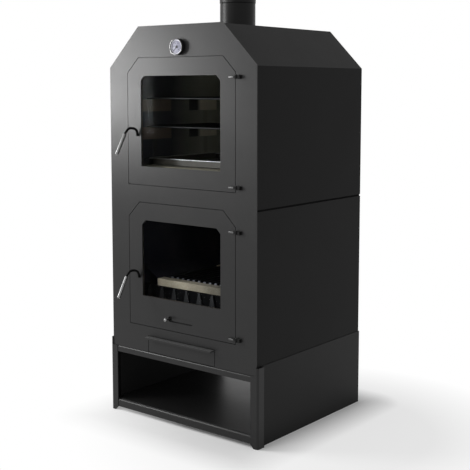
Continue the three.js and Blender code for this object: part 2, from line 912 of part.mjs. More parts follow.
// Bent rod, grip and latch of one door
function makeHandle(door, doorBottom) {
  const z = doorBottom + spindleRise;
  const place = (x, y, rise) => new THREE.Vector3(spindleX + x, y, z + rise);
  const start = place(0, spindleInner, 0);
  const stub = place(0, -spindleStub, 0);
  const top = place(-neckTopShift, -neckTopForward, neckRise);
  const gripTop = place(-gripTopShift, -gripTopForward, gripTopRise);
  const gripWay = new THREE.Vector3(gripShift, -gripOut, -gripDrop);
  const gripLength = gripWay.length();
  const along = gripWay.clone().normalize();
  const over = new THREE.Vector3(gripTop.x - stub.x, gripTop.y - stub.y, 0).normalize();
  const path = new THREE.CurvePath();
  path.add(new THREE.LineCurve3(start, stub));
  path.add(
    new THREE.CubicBezierCurve3(
      stub,
      stub.clone().add(new THREE.Vector3(0, -neckBend, 0)),
      top.clone().addScaledVector(over, -neckSweep),
      top,
    ),
  );
  path.add(
    new THREE.CubicBezierCurve3(
      top,
      top.clone().addScaledVector(over, neckSweep - neckBend),
      gripTop.clone().addScaledVector(along, -neckBend),
      gripTop,
    ),
  );
  const rodEnd = gripTop.clone().addScaledVector(along, gripBore - seat);
  path.add(new THREE.LineCurve3(gripTop, rodEnd));
  const section = shapeOf(circle(0, 0, rodRadius, rodFacets));
  const rod = new THREE.ExtrudeGeometry(section, {
    steps: rodSteps,
    bevelEnabled: false,
    extrudePath: path,
  });
  add(`${door}_handle_rod`, rod, blackPaint);

  const grip = turnedAlongY(
    [
      [0, gripBore],
      [rodRadius + seat, gripBore],
      [rodRadius + seat, 0],
      [gripRadius - gripChamfer, 0],
      [gripRadius, gripChamfer],
      [gripRadius, gripLength - gripChamfer],
      [gripRadius - gripChamfer, gripLength],
      [0, gripLength],
    ],
    roundFacets,
  );
  const turn = new THREE.Quaternion().setFromUnitVectors(new THREE.Vector3(0, 1, 0), along);
  grip.applyQuaternion(turn).translate(gripTop.x, gripTop.y, gripTop.z);
  add(`${door}_handle_grip`, grip, bareSteel);

  const latchFront = frameBack + latchClearance;
  const latchBack = latchFront + latchThickness;
  const latch = cut(
    join(
      pinAlongY(spindleX, z, latchFront, latchBack, latchHubRadius),
      block(
        spindleX - latchReach, spindleX, latchFront, latchBack,
        z - latchWidth / 2, z + latchWidth / 2,
      ),
    ),
    pinAlongY(spindleX, z, latchFront - overrun, latchBack + overrun, rodRadius + seat),
  );
  add(`${door}_latch`, latch, castIron);
}

// Sliding air plate behind the slot in the lower door, and its knob
function makeAirRegulator() {
  const plateHalf = airPlateHeight / 2;
  const front = doorPlate + seat;
  const back = front + airPlateThickness;
  const plate = block(
    -airPlateWidth / 2, airPlateWidth / 2, front, back,
    airSlotCentre - plateHalf, airSlotCentre + plateHalf,
  );
  add('air_slide_plate', plate, blackPaint);

  const knobX = -airSlotWidth / 2 + knobFromSlotEnd;
  const knob = turnedAlongY(
    [
      [0, -knobForward],
      [knobRadius - knobChamfer, -knobForward],
      [knobRadius, -knobForward + knobChamfer],
      [knobRadius, -knobForward + knobLength],
      [knobStemRadius, -knobForward + knobLength + knobChamfer / 2],
      [knobStemRadius, doorPlate],
      [0, doorPlate],
    ],
    roundFacets,
  );
  add('air_knob', knob.translate(knobX, 0, airSlotCentre), bareSteel);
}

function airRails() {
  const inner = airPlateHeight / 2 + seat;
  const x0 = -airPlateWidth / 2 - airRailRun;
  const x1 = airPlateWidth / 2 + airTravel + airRailRun;
  const lipFront = doorPlate + seat + airPlateThickness + seat;
  const lipBack = lipFront + stripSheet;
  const rails = [];
  for (const side of [-1, 1]) {
    const low = Math.min(side * inner, side * (inner + airRailHeight));
    const lipLow = Math.min(side * (inner - airRailLip), side * (inner + airRailHeight));
    rails.push(
      block(
        x0, x1, doorPlate / 2, lipBack, airSlotCentre + low, airSlotCentre + low + airRailHeight,
      ),
      block(
        x0, x1, lipFront, lipBack,
        airSlotCentre + lipLow, airSlotCentre + lipLow + airRailHeight + airRailLip,
      ),
    );
  }
  return rails;
}

// Ash drawer
function makeAshDrawer() {
  const half = drawerBoxWidth / 2;
  const boxFront = drawerFrontSheet + seat;
  const top = drawerBottom + drawerBoxHeight;
  const box = cut(
    block(-half, half, boxFront, boxFront + drawerBoxDepth, drawerBottom, top),
    block(
      -half + drawerSheet, half - drawerSheet,
      boxFront + drawerSheet, boxFront + drawerBoxDepth - drawerSheet,
      drawerBottom + drawerSheet, top + overrun,
    ),
  );
  add('ash_drawer_box', box, blackPaint);

  const frontTop = drawerBottom + drawerFrontHeight;
  const front = alongX(
    [
      [0, drawerBottom],
      [drawerFrontSheet, drawerBottom],
      [drawerFrontSheet, frontTop],
      [-drawerLip, frontTop],
      [-drawerLip, frontTop - drawerLipHem],
      [-drawerLip + drawerFrontSheet, frontTop - drawerLipHem],
      [-drawerLip + drawerFrontSheet, frontTop - drawerFrontSheet],
      [0, frontTop - drawerFrontSheet],
    ],
    -drawerFrontWidth / 2,
    drawerFrontWidth / 2,
  );
  add('ash_drawer_front', front, blackPaint);
}

// Firebox: liner, hearth, grate, log guard and ash chute
function makeFirebox() {
  const linerFront = frameBack + seat;
  const floorTop = hearthTop + seat;
  const footInner = hearthHalfWidth + seat;
  const brickFront = hearthFront + brickSetback;
  const liner = join(
    block(
      linerHalfWidth, linerHalfWidth + linerSheet, linerFront, linerDepth,
      floorTop, seamHeight,
    ),
    alongY(
      [
        [linerHalfWidth + linerSheet / 2, skirtTop],
        [footInner, skirtTop - skirtSlopeDrop],
        [footInner, floorTop],
        [footInner + linerSheet, floorTop],
        [footInner + linerSheet, skirtTop - skirtSlopeDrop - linerSheet / 2],
        [linerHalfWidth + linerSheet / 2, skirtTop - linerSheet],
      ],
      brickFront,
      linerDepth,
    ),
  );
  addPair('firebox_liner', liner, castIron);
  const backHalf = linerHalfWidth + linerSheet;
  add(
    'firebox_liner_back',
    block(-backHalf, backHalf, linerDepth + seat, linerDepth + seat + linerSheet, floorTop, seamHeight),
    castIron,
  );

  const supportHalf = casingHalf - casingSheet - seat;
  const apronFront = hearthFront + seat;
  const brickBack = brickFront + frontBrickDepth;
  const grateFront = brickBack + seat;
  const grateBack = grateFront + grateDepth;
  const supportBottom = hearthTop - hearthSheet;
  const support = alongZ(
    rectangle(-supportHalf, supportHalf, apronFront, linerDepth + linerSheet),
    supportBottom,
    hearthTop,
    [
      rectangle(
        -hearthHalfWidth + grateLedge, hearthHalfWidth - grateLedge,
        grateFront + grateLedge, grateBack - grateLedge,
      ),
    ],
  );
  const apronHoles = [];
  for (let i = 0; i < apronHoleCount; i += 1) {
    const centre = (i - (apronHoleCount - 1) / 2) * apronHolePitch;
    const rise = hearthTop - apronHeight + apronHoleRise;
    apronHoles.push(stadium(centre, rise, apronHoleWidth, apronHoleHeight, rodFacets / 2));
  }
  const apron = alongY(
    rectangle(-supportHalf, supportHalf, hearthTop - apronHeight, supportBottom + hearthSheet / 2),
    apronFront,
    apronFront + hearthSheet,
    apronHoles,
  );
  add('hearth_support', join(support, apron), castIron);

  const brickHalf = hearthHalfWidth;
  const brickTop = floorTop + brickThickness;
  const brick = (y0, y1) => block(-brickHalf, brickHalf, y0, y1, floorTop, brickTop);
  add('hearth_brick_front', brick(brickFront, brickBack), firebrick);
  add('hearth_brick_rear', brick(grateBack + seat, linerDepth), firebrick);

  const slots = [];
  const barCount = Math.floor((2 * brickHalf - 2 * grateRim - grateSlotWidth) / grateBarPitch) + 1;
  for (let i = 0; i < barCount; i += 1) {
    const centre = (i - (barCount - 1) / 2) * grateBarPitch;
    slots.push(
      block(
        centre - grateSlotWidth / 2, centre + grateSlotWidth / 2,
        grateFront + grateRim, grateBack - grateRim,
        floorTop - overrun, floorTop + grateThickness + overrun,
      ),
    );
  }
  const grate = block(-brickHalf, brickHalf, grateFront, grateBack, floorTop, floorTop + grateThickness);
  add('fire_grate', cut(grate, ...slots), castIron);

  const guardBack = hearthFront;
  const guardEnd = linerHalfWidth - guardInset;
  const toothPitch = (2 * guardEnd) / guardTeeth;
  const outline = [
    [-guardEnd, guardToothFoot - guardStripHeight],
    [guardEnd, guardToothFoot - guardStripHeight],
    [guardEnd, guardToothFoot],
  ];
  for (let i = guardTeeth - 1; i >= 0; i -= 1) {
    const centre = (i - (guardTeeth - 1) / 2) * toothPitch;
    outline.push(
      [centre + guardToothFootWidth / 2, guardToothFoot],
      [centre + guardToothTopWidth / 2, guardTop],
      [centre - guardToothTopWidth / 2, guardTop],
      [centre - guardToothFootWidth / 2, guardToothFoot],
    );
  }
  outline.push([-guardEnd, guardToothFoot]);
  add('log_guard', alongY(outline, guardBack - guardThickness, guardBack), ovenSteel);

  const chuteTop = supportBottom - seat;
  const chuteFront = apronFront + hearthSheet + seat;
  const chuteTopHalfWidth = hearthHalfWidth + chuteLedge;
  const chuteFootHalfWidth = drawerBoxWidth / 2 - chuteFootInset;
  const wall = (side) => [
    [side * chuteTopHalfWidth, chuteTop],
    [side * chuteFootHalfWidth, chuteFoot],
    [side * (chuteFootHalfWidth + chuteSheet), chuteFoot],
    [side * (chuteTopHalfWidth + chuteSheet), chuteTop],
  ];
  const back = [
    [-chuteTopHalfWidth - chuteSheet / 2, chuteTop],
    [-chuteFootHalfWidth - chuteSheet / 2, chuteFoot],
    [chuteFootHalfWidth + chuteSheet / 2, chuteFoot],
    [chuteTopHalfWidth + chuteSheet / 2, chuteTop],
  ];
  const chuteBack = grateBack;
  const chute = join(
    alongY(wall(1), chuteFront, chuteBack),
    alongY(wall(-1), chuteFront, chuteBack),
    alongY(back, chuteBack - chuteSheet, chuteBack),
  );
  add('ash_chute', chute, castIron);
}

// Oven: box, floor stone, tray supports, tray and racks
function makeOven() {
  const frontY = frameBack + seat;
  const boxBack = frontY + ovenDepth;
  const oven = (grow) => clipped(ovenHalfWidth, ovenFloor, ovenRoof, ovenCorner, grow);
  const collarHalf = doorWidth / 2 + ovenCollarMargin;
  const collar = (grow) => clipped(
    collarHalf, ovenCollarBottom, ovenCollarTop, ovenCollarCorner, grow,
  );
  const box = join(
    ring(oven, ovenSheet, 0, frontY, boxBack),
    alongY(oven(ovenSheet), boxBack - ovenSheet, boxBack),
    alongY(collar(0), frontY, frontY + ovenSheet, [oven(0)]),
    ring(collar, 0, -ovenSheet, plateBack, frontY + ovenSheet),
  );
  add('oven_box', box, ovenSteel);

  const stoneBottom = ovenFloor + seat;
  const stoneHalfWidth = ovenHalfWidth - stoneInset;
  add(
    'oven_floor_stone',
    block(
      -stoneHalfWidth, stoneHalfWidth, stoneFront, boxBack - ovenSheet - seat,
      stoneBottom, stoneBottom + stoneThickness,
    ),
    firebrick,
  );

  const wall = ovenHalfWidth - seat;
  const runnerBack = runnerFront + runnerLength;
  const pieces = [];
  const stoneTop = stoneBottom + stoneThickness + seat;
  for (const top of [lowestRunner, middleRunner, highestRunner]) {
    const webBottom = Math.max(top - runnerWebHeight, stoneTop);
    pieces.push(
      block(wall - runnerFlange, wall, runnerFront, runnerBack, top - runnerSheet, top),
      block(wall - runnerSheet, wall, runnerFront, runnerFront + runnerFrontWeb, webBottom, top),
      block(wall - runnerSheet, wall, runnerBack - runnerRearWeb, runnerBack, webBottom, top),
    );
  }
  for (const from of [runnerFront + runnerUprightInset, runnerBack - runnerUprightInset]) {
    pieces.push(
      block(
        wall - runnerSheet, wall, from - runnerUprightWidth / 2, from + runnerUprightWidth / 2,
        stoneTop, highestRunner,
      ),
    );
  }
  const holes = [];
  for (const top of [middleRunner, highestRunner]) {
    holes.push(
      alongX(
        circle(runnerFront + runnerHoleBack, top - runnerHoleDrop, runnerHoleRadius, rodFacets),
        wall - runnerSheet - overrun,
        wall + overrun,
      ),
    );
  }
  addPair('tray_support', cut(join(...pieces), ...holes), ovenSteel);

  const rim = lowestRunner + seat + traySheet;
  const trayBack = trayFront + trayDepth;
  const trayBottom = rim - trayDrop;
  const trayHalfWidth = ovenHalfWidth - trayInset;
  const trayBodyHalfWidth = trayHalfWidth - trayRim;
  const sectionOuter = [
    [-trayHalfWidth, rim - traySheet],
    [-trayBodyHalfWidth, rim - traySheet],
    [-trayBodyHalfWidth + traySlant, trayBottom],
    [trayBodyHalfWidth - traySlant, trayBottom],
    [trayBodyHalfWidth, rim - traySheet],
    [trayHalfWidth, rim - traySheet],
    [trayHalfWidth, rim],
    [-trayHalfWidth, rim],
  ];
  const hollow = [
    [-trayBodyHalfWidth + traySlant + traySheet, trayBottom + traySheet],
    [trayBodyHalfWidth - traySlant - traySheet, trayBottom + traySheet],
    [trayBodyHalfWidth - traySheet, rim + seat],
    [-trayBodyHalfWidth + traySheet, rim + seat],
  ];
  const tray = cut(
    alongY(sectionOuter, trayFront, trayBack),
    alongY(hollow, trayFront + traySheet, trayBack - traySheet),
  );
  add('baking_tray', tray, bareSteel);

  for (const [name, level] of [['oven_rack_lower', middleRunner], ['oven_rack_upper', highestRunner]]) {
    const z = level + seat + rackFrameRadius;
    const rackBack = rackFront + rackDepth;
    const rackHalfWidth = ovenHalfWidth - rackInset;
    const corners = roundedRectangle(-rackHalfWidth, rackHalfWidth, rackFront, rackBack, rackCorner);
    const rods = [closedWire(corners, z, rackFrameRadius)];
    for (let i = 1; i <= rackRods; i += 1) {
      const x = -rackHalfWidth + (2 * rackHalfWidth * i) / (rackRods + 1);
      rods.push(pinAlongY(x, z, rackFront, rackBack, rackRodRadius, rodFacets));
    }
    add(name, join(...rods), chrome);
  }
}

// Thermometer: case with its stem, dial, needle, lens and bezel
function makeThermometer() {
  const caseInner = dialRadius + seat;
  const caseOuter = caseInner + caseWall;
  const lensFront = -caseDepth;
  const lensBack = lensFront + lensThickness;
  const housing = turnedAlongY(
    [
      [0, -caseFloor],
      [caseInner, -caseFloor],
      [caseInner, -caseDepth],
      [caseOuter, -caseDepth],
      [caseOuter, -seat],
      [stemRadius, -seat],
      [stemRadius, stemLength],
      [0, stemLength],
    ],
    fineFacets,
  );
  add('thermometer_case', housing.translate(0, 0, dialHeight), blackPaint);

  const dialFront = -caseFloor - seat - dialSheet;
  const disc = (y0, y1) => pinAlongY(0, dialHeight, y0, y1, dialRadius, fineFacets);
  add('thermometer_dial', disc(dialFront, -caseFloor - seat), dialWhite);
  add('thermometer_lens', disc(lensFront, lensBack), stoveGlass);

  const needleBack = dialFront - seat;
  const needleFront = needleBack - needleThickness;
  const turnAngle = (needleAngle * Math.PI) / halfTurn;
  const pointer = alongY(
    [
      [-needleHalfWidth, -needleTail],
      [needleHalfWidth, -needleTail],
      [needleHalfWidth / 2, needleLength],
      [-needleHalfWidth / 2, needleLength],
    ],
    needleFront,
    needleBack,
  );
  const hub = pinAlongY(0, 0, needleFront, needleBack, needleHubRadius);
  const needle = join(pointer, hub).rotateY(turnAngle);
  add('thermometer_needle', needle.translate(0, 0, dialHeight), needleBlack);

  const bezelBack = -caseDepth - seat;
  const bezelFace = bezelBack - bezelDepth;
  const bezel = turnedAlongY(
    [
      [caseOuter - bezelWidth, bezelBack],
      [caseOuter - bezelWidth + bezelChamfer, bezelFace],
      [caseOuter - bezelChamfer, bezelFace],
      [caseOuter, bezelFace + bezelChamfer],
      [caseOuter, bezelBack],
      [caseOuter - bezelWidth, bezelBack],
    ],
    fineFacets,
  );
  add('thermometer_bezel', bezel.translate(0, 0, dialHeight), chrome);
}

makeBase();
makeCabinet();
makeDoor('upper_door', upperDoorBottom, upperWindowBottom, upperWindowHeight, [], []);
const airSlot = stadium(0, airSlotCentre, airSlotWidth, airSlotHeight, rodFacets);
makeDoor('lower_door', lowerDoorBottom, lowerWindowBottom, lowerWindowHeight, airRails(), [airSlot]);
makeHandle('upper_door', upperDoorBottom);
makeHandle('lower_door', lowerDoorBottom);
makeAirRegulator();
makeAshDrawer();
makeFirebox();
makeOven();
makeThermometer();

// The origin goes to the floor under the middle of the whole stove, handles included
const frontmost = new THREE.Box3().setFromObject(stove).min.y;
stove.position.set(0, -(frontmost + baseDepth) / 2, 0);

export default stove;
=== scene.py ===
# %% [markdown]
# # A wood cooking stove in Blender
#
# The stove is one tall cabinet of black-painted sheet steel. It has an open log store at the
# bottom, a firebox behind a glass door, and an oven behind a second glass door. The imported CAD
# model holds every piece at its real size. This notebook dresses it: it replaces the round and
# soft pieces with finer ones, gives each surface a finish, and sets up the studio.
#
# Lengths are metres. +X points to the hinges, +Y to the back of the stove and +Z up.

# %% Load the frame
import json
import math

import bmesh
import bpy
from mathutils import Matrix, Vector

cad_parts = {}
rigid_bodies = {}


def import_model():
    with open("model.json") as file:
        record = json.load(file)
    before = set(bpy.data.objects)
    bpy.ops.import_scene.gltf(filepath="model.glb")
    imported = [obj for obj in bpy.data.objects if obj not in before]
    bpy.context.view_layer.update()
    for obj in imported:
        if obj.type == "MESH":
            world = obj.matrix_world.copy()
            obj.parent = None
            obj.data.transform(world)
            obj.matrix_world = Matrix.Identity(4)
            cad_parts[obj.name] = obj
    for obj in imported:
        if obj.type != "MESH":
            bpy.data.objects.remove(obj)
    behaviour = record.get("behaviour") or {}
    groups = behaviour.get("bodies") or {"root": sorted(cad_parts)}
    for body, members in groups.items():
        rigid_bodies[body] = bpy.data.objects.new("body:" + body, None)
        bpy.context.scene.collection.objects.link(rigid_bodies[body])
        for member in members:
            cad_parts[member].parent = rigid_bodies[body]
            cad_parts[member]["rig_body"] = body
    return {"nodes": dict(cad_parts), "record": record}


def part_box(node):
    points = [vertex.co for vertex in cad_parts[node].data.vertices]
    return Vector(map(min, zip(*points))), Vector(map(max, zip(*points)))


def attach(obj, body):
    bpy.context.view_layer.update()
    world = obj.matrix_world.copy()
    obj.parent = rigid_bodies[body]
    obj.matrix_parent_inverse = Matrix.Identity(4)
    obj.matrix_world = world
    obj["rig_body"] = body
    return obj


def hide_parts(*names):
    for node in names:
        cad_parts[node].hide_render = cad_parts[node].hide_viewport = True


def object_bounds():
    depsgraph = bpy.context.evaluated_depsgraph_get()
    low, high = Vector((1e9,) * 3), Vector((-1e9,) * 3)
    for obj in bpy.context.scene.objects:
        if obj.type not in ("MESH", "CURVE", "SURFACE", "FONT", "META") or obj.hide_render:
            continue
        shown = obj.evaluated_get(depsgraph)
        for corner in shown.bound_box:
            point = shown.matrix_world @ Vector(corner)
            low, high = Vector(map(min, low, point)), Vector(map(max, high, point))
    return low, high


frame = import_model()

cad_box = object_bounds()
nodes = frame["nodes"]
print("CAD pieces:", len(nodes))

# %% [markdown]
# ## The camera
#
# The photograph looks down a little from chest height, from the hinge side. A level camera with a
# large vertical shift would keep the uprights exactly vertical, but it cuts off the flue when the
# stove is seen from other sides. A tilt of six degrees with a small shift keeps them nearly so and
# the flue in view. The place, the turn and the lens come from fitting the corners of the plate and
# the doors.

# %% Camera
CAMERA_PLACE = (2.6071, -3.2122, 1.3929)
CAMERA_TURN = 38.752
CAMERA_TILT = -6.2
CAMERA_LENS = 74.492
CAMERA_SHIFT = -0.0871

camera_data = bpy.data.cameras.new("photo_camera")
camera_data.sensor_width = 36.0
camera_data.lens = CAMERA_LENS
camera_data.shift_y = CAMERA_SHIFT
camera = bpy.data.objects.new("photo_camera", camera_data)
camera.location = CAMERA_PLACE
camera.rotation_euler = (math.radians(90 + CAMERA_TILT), 0.0, math.radians(CAMERA_TURN))
bpy.context.scene.collection.objects.link(camera)
bpy.context.scene.camera = camera
bpy.context.scene.view_settings.view_transform = "Standard"
print("camera", CAMERA_PLACE, "lens", CAMERA_LENS)

# %% [markdown]
# ## Shader maths as plain expressions
#
# A finish is a small graph of nodes. Wiring sums by hand takes many lines, so one class wraps a
# socket and overloads the arithmetic: `1 - mask` or `0.4 + 0.1 * grain` adds the Math nodes by
# itself. Every other node comes from `Finish.node`, which takes its settings and its inputs.


# %% A socket with arithmetic
class Wire:
    def __init__(self, finish, socket):
        self.finish = finish
        self.socket = socket

    def math(self, operation, *inputs):
        return self.finish.node("ShaderNodeMath", {"operation": operation}, dict(enumerate(inputs)))

    def __add__(self, other):
        return self.math("ADD", self, other)

    __radd__ = __add__

    def __sub__(self, other):
        return self.math("SUBTRACT", self, other)

    def __rsub__(self, other):
        return self.math("SUBTRACT", other, self)

    def __mul__(self, other):
        return self.math("MULTIPLY", self, other)

    __rmul__ = __mul__

    def __truediv__(self, other):
        return self.math("DIVIDE", self, other)

    def __pow__(self, other):
        return self.math("POWER", self, other)

    def __gt__(self, other):
        return self.math("GREATER_THAN", self, other)

    def __lt__(self, other):
        return self.math("LESS_THAN", self, other)

    def positive(self):
        return self.math("MAXIMUM", self, 0.0)

    def clamp(self):
        return self.math("MINIMUM", self.positive(), 1.0)

    def size(self):
        return self.math("ABSOLUTE", self)

    def sine(self):
        return self.math("SINE", self)

    def rise(self, low, high):
        """A ramp from 0 at low to 1 at high."""
        return ((self - low) / (high - low)).clamp()


print("sockets can add up")

# %% [markdown]
# ### One method for every node
#
# A finish owns a material and clears it. `node` makes one node, changes its settings first, writes
# or links its inputs, and hands back one output as a Wire. The methods below it are short names for
# the nodes that come up again and again. Patterns read Object coordinates, which stay with a piece
# when it moves. Colours are easier to judge as seen on screen, so `shade` turns them into the
# linear values that shaders use.


# %% A finish and its nodes
class Finish:
    def __init__(self, name, owner=None, output="ShaderNodeOutputMaterial"):
        """The owner of the nodes is a new material, unless one, such as a world, is handed in."""
        self.owner = owner or bpy.data.materials.new(name)
        self.owner.use_nodes = True
        self.tree = self.owner.node_tree
        self.tree.nodes.clear()
        self.output = self.tree.nodes.new(output)

    def connect(self, value, socket):
        if isinstance(value, Wire):
            self.tree.links.new(value.socket, socket)
        else:
            socket.default_value = value

    def node(self, kind, settings=None, inputs=None, output=0):
        made = self.tree.nodes.new(kind)
        for name, value in (settings or {}).items():
            setattr(made, name, value)
        for key, value in (inputs or {}).items():
            self.connect(value, made.inputs[key])
        return Wire(self, made.outputs[output])

    def coordinates(self):
        return self.node("ShaderNodeTexCoord", output="Object")

    def axis(self, name):
        return self.node("ShaderNodeSeparateXYZ", None, {0: self.coordinates()}, name)

    def noise(self, scale, detail=3.0, stretch=(1.0, 1.0, 1.0), rough=0.5):
        place = {"Vector": self.coordinates(), "Scale": stretch}
        inputs = {
            "Vector": self.node("ShaderNodeMapping", None, place),
            "Scale": scale,
            "Detail": detail,
            "Roughness": rough,
        }
        return self.node("ShaderNodeTexNoise", None, inputs)

    def blend(self, factor, first, second):
        """A Mix node for colours has its factor at input 0, its colours at 6 and 7."""
        inputs = {0: factor, 6: first, 7: second}
        return self.node("ShaderNodeMix", {"data_type": "RGBA"}, inputs, 2)

    def bump(self, height, depth, strength=1.0):
        inputs = {"Height": height, "Distance": depth, "Strength": strength}
        return self.node("ShaderNodeBump", None, inputs)

    def shader(self, **sockets):
        inputs = {name.replace("_", " "): value for name, value in sockets.items()}
        return self.node("ShaderNodeBsdfPrincipled", None, inputs)

    def finish(self, surface):
        self.connect(surface, self.output.inputs["Surface"])
        return self.owner


def linear(tone):
    return ((tone + 0.055) / 1.055) ** 2.4 if tone > 0.04045 else tone / 12.92


def shade(red, green=None, blue=None):
    """A colour as seen on screen, 0 to 1; a single value is a grey."""
    green = red if green is None else green
    blue = red if blue is None else blue
    return (linear(red), linear(green), linear(blue), 1.0)


print("shader helpers ready, a mid grey is", round(shade(0.5)[0], 4))

# %% [markdown]
# ## Stove paint
#
# Heat-resistant paint is sprayed on thin and dries satin: dark, slightly uneven, with a very fine
# orange peel. One flat black would look like plastic, so two noises shift the tone and the gloss
# over the width of a hand and a finger, and a third, very fine one is only a bump. Each kind of
# sheet gets its own tone and gloss, set to how light falls on it: the darker flue collar, shelf and
# handle rods are painted shade, and the paler lower casing is painted light.


# %% Black stove paint
def stove_paint(name, tone, roughness, gloss, masked=None, masked_tone=0.03, masked_rough=0.5):
    """Where the mask is 1, the paint takes the masked tone and gets rougher."""
    finish = Finish(name)
    slow = finish.noise(5.0, 4.0)
    cloud = finish.noise(38.0, 3.0)
    peel = finish.noise(1400.0, 2.0)
    dark = shade(tone * 0.9, tone * 0.9, tone * 0.92)
    pale = shade(tone * 1.18, tone * 1.17, tone * 1.16)
    colour = finish.blend(slow * 0.6 + cloud * 0.4, dark, pale)
    rough = roughness + 0.1 * (slow - 0.5) + 0.06 * (cloud - 0.5)
    if masked:
        mask = masked(finish)
        colour = finish.blend(mask, colour, shade(masked_tone))
        rough = rough + masked_rough * mask
    surface = finish.shader(
        Base_Color=colour,
        Roughness=rough,
        Specular_IOR_Level=gloss,
        Normal=finish.bump(peel, 0.00002, 0.6),
    )
    return finish.finish(surface)


# The darker flue, shelf and rod tones are painted shade; the paler lower casing is painted light.
FRONT_PAINT = (0.11, 0.36, 0.26)
front_paint = stove_paint("front_black_paint", *FRONT_PAINT)
side_paint = stove_paint("side_black_paint", 0.106, 0.5, 0.05)
low_side_paint = stove_paint("low_side_black_paint", 0.118, 0.5, 0.055)
seam_paint = stove_paint("seam_black_paint", 0.11, 0.9, 0.0)
base_paint = stove_paint("base_black_paint", 0.115, 0.36, 0.24)
shelf_paint = stove_paint("shelf_black_paint", 0.09, 0.36, 0.3)
flue_paint = stove_paint("flue_black_paint", 0.055, 0.38, 0.14)
rod_paint = stove_paint("rod_black_paint", 0.02, 0.42, 0.05)
print("eight plain black paints")

# %% [markdown]
# ### Paint with a second tone
#
# Four kinds of sheet show a second tone at one place. What stands proud of the plates, the hinge
# blocks and eyes, is dull black, a painted shade. The inner faces of the base are duller than the
# outer ones, the top of the ash drawer's folded lip is lighter, a painted highlight, and the air
# slide is darker along its lower margin and behind its knob, a painted shade. Splitting the sheets
# would make pieces that the stove doesn't have, so a mask on each piece's own coordinates picks the
# place.

# %% Masked paints
PROUD_OF_PLATES = -0.3204
BASE_INNER_FACE = 0.3878
DRAWER_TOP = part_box("ash_drawer_front")[1][2]
LIP_SKIN = 0.0006
SLOT_LOW = 0.437
SLOT_LEFT = -0.068
SHADED_MARGIN = 0.0045
SHADED_END = 0.017


# Darker along the slot's lower margin and at its left end behind the knob, a painted shade.
def shaded_slide_edges(finish):
    margin = finish.axis("Z") < SLOT_LOW + SHADED_MARGIN
    end = finish.axis("X") < SLOT_LEFT + SHADED_END
    return (margin + end).clamp()


# Hinge blocks and eyes proud of the plates are dull black, a painted shade.
plate_paint = stove_paint(
    "plate_black_paint", *FRONT_PAINT, lambda f: f.axis("Y") < PROUD_OF_PLATES
)
base_side_paint = stove_paint(
    "base_side_black_paint",
    0.105,
    0.42,
    0.1,
    lambda f: f.axis("X").size() < BASE_INNER_FACE,
    masked_tone=0.11,
    masked_rough=0.2,
)
# The top of the drawer's lip is painted lighter, a painted highlight.
drawer_paint = stove_paint(
    "drawer_black_paint",
    *FRONT_PAINT,
    lambda f: f.axis("Z") > DRAWER_TOP - LIP_SKIN,
    masked_tone=0.27,
    masked_rough=0.1,
)
slide_paint = stove_paint("slide_black_paint", *FRONT_PAINT, shaded_slide_edges, masked_tone=0.004)
print("four masked paints, drawer top at", round(DRAWER_TOP, 4))

# %% [markdown]
# ## Iron, steel and brick
#
# The inside of the stove is not painted. The liners are cast iron with a grainy skin, the oven is
# steel that heat has browned, the firebricks are pale and speckled. Each gets its own noise at
# the size of its real grain, so that none of them is one flat colour.
#
# ### Cast iron
#
# Iron from a sand mould has a skin of fine grains. Behind the fire it lies under old soot, slightly
# blue where the soot has burnt off. The grate's ribs are lighter at their front ends, partly wear
# from the ash rake and partly a painted highlight. A mask on depth picks those ends.


# %% Cast iron
def iron_finish(name, patches, dark, light):
    finish = Finish(name)
    grain = finish.noise(420.0, 3.0)
    surface = finish.shader(
        Base_Color=finish.blend(patches(finish), dark, light),
        Metallic=0.25,
        Roughness=0.62 + 0.2 * (grain - 0.5),
        Specular_IOR_Level=0.3,
        Normal=finish.bump(grain, 0.0003, 0.7),
    )
    return finish.finish(surface)


cast_iron = iron_finish(
    "cast_iron", lambda f: f.noise(9.0, 4.0), shade(0.098), shade(0.189, 0.182, 0.175)
)
sooty_iron = iron_finish(
    "sooty_iron",
    lambda f: f.noise(7.0, 4.0).rise(0.35, 0.7),
    shade(0.09, 0.09, 0.13),
    shade(0.18, 0.18, 0.2),
)
# Ribs in front of this depth are lighter: partly wear, partly a painted highlight.
RAKED_AND_LIT_FRONT = -0.1835


def rib_finish():
    finish = Finish("rib_iron")
    grain = finish.noise(420.0, 3.0)
    dark = finish.blend(grain, shade(0.05, 0.05, 0.055), shade(0.09, 0.09, 0.1))
    # The bright tone is partly wear and partly a painted highlight.
    bright = finish.blend(grain, shade(0.42, 0.42, 0.44), shade(0.52, 0.52, 0.54))
    surface = finish.shader(
        Base_Color=finish.blend(finish.axis("Y") < RAKED_AND_LIT_FRONT, dark, bright),
        Metallic=0.2,
        Roughness=0.6 + 0.1 * grain,
        Specular_IOR_Level=0.2,
        Normal=finish.bump(grain, 0.0003, 0.6),
    )
    return finish.finish(surface)


rib_iron = rib_finish()
print("three kinds of iron")

# %% [markdown]
# ### Soot
#
# The support under the hearth never gets clean. Soot throws back almost no light and has no gloss,
# so a nearly black colour with a little dust in it, very rough, does more than any bump.


# %% Soot
def soot_finish():
    finish = Finish("soot_black")
    dust = finish.noise(60.0, 4.0)
    surface = finish.shader(
        Base_Color=finish.blend(dust, shade(0.02), shade(0.07, 0.07, 0.075)),
        Roughness=0.85 + 0.1 * dust,
        Specular_IOR_Level=0.05,
    )
    return finish.finish(surface)


soot_black = soot_finish()
print("soot ready")

# %% [markdown]
# ### Oven steel
#
# Rolled steel that has been hot shows a cool and a browned tint in slow patches, with smears that
# run front to back. The same mix in other tones serves the toothed guard of the hearth, which is
# nearly black, the used baking tray, and the white slope around the dial.


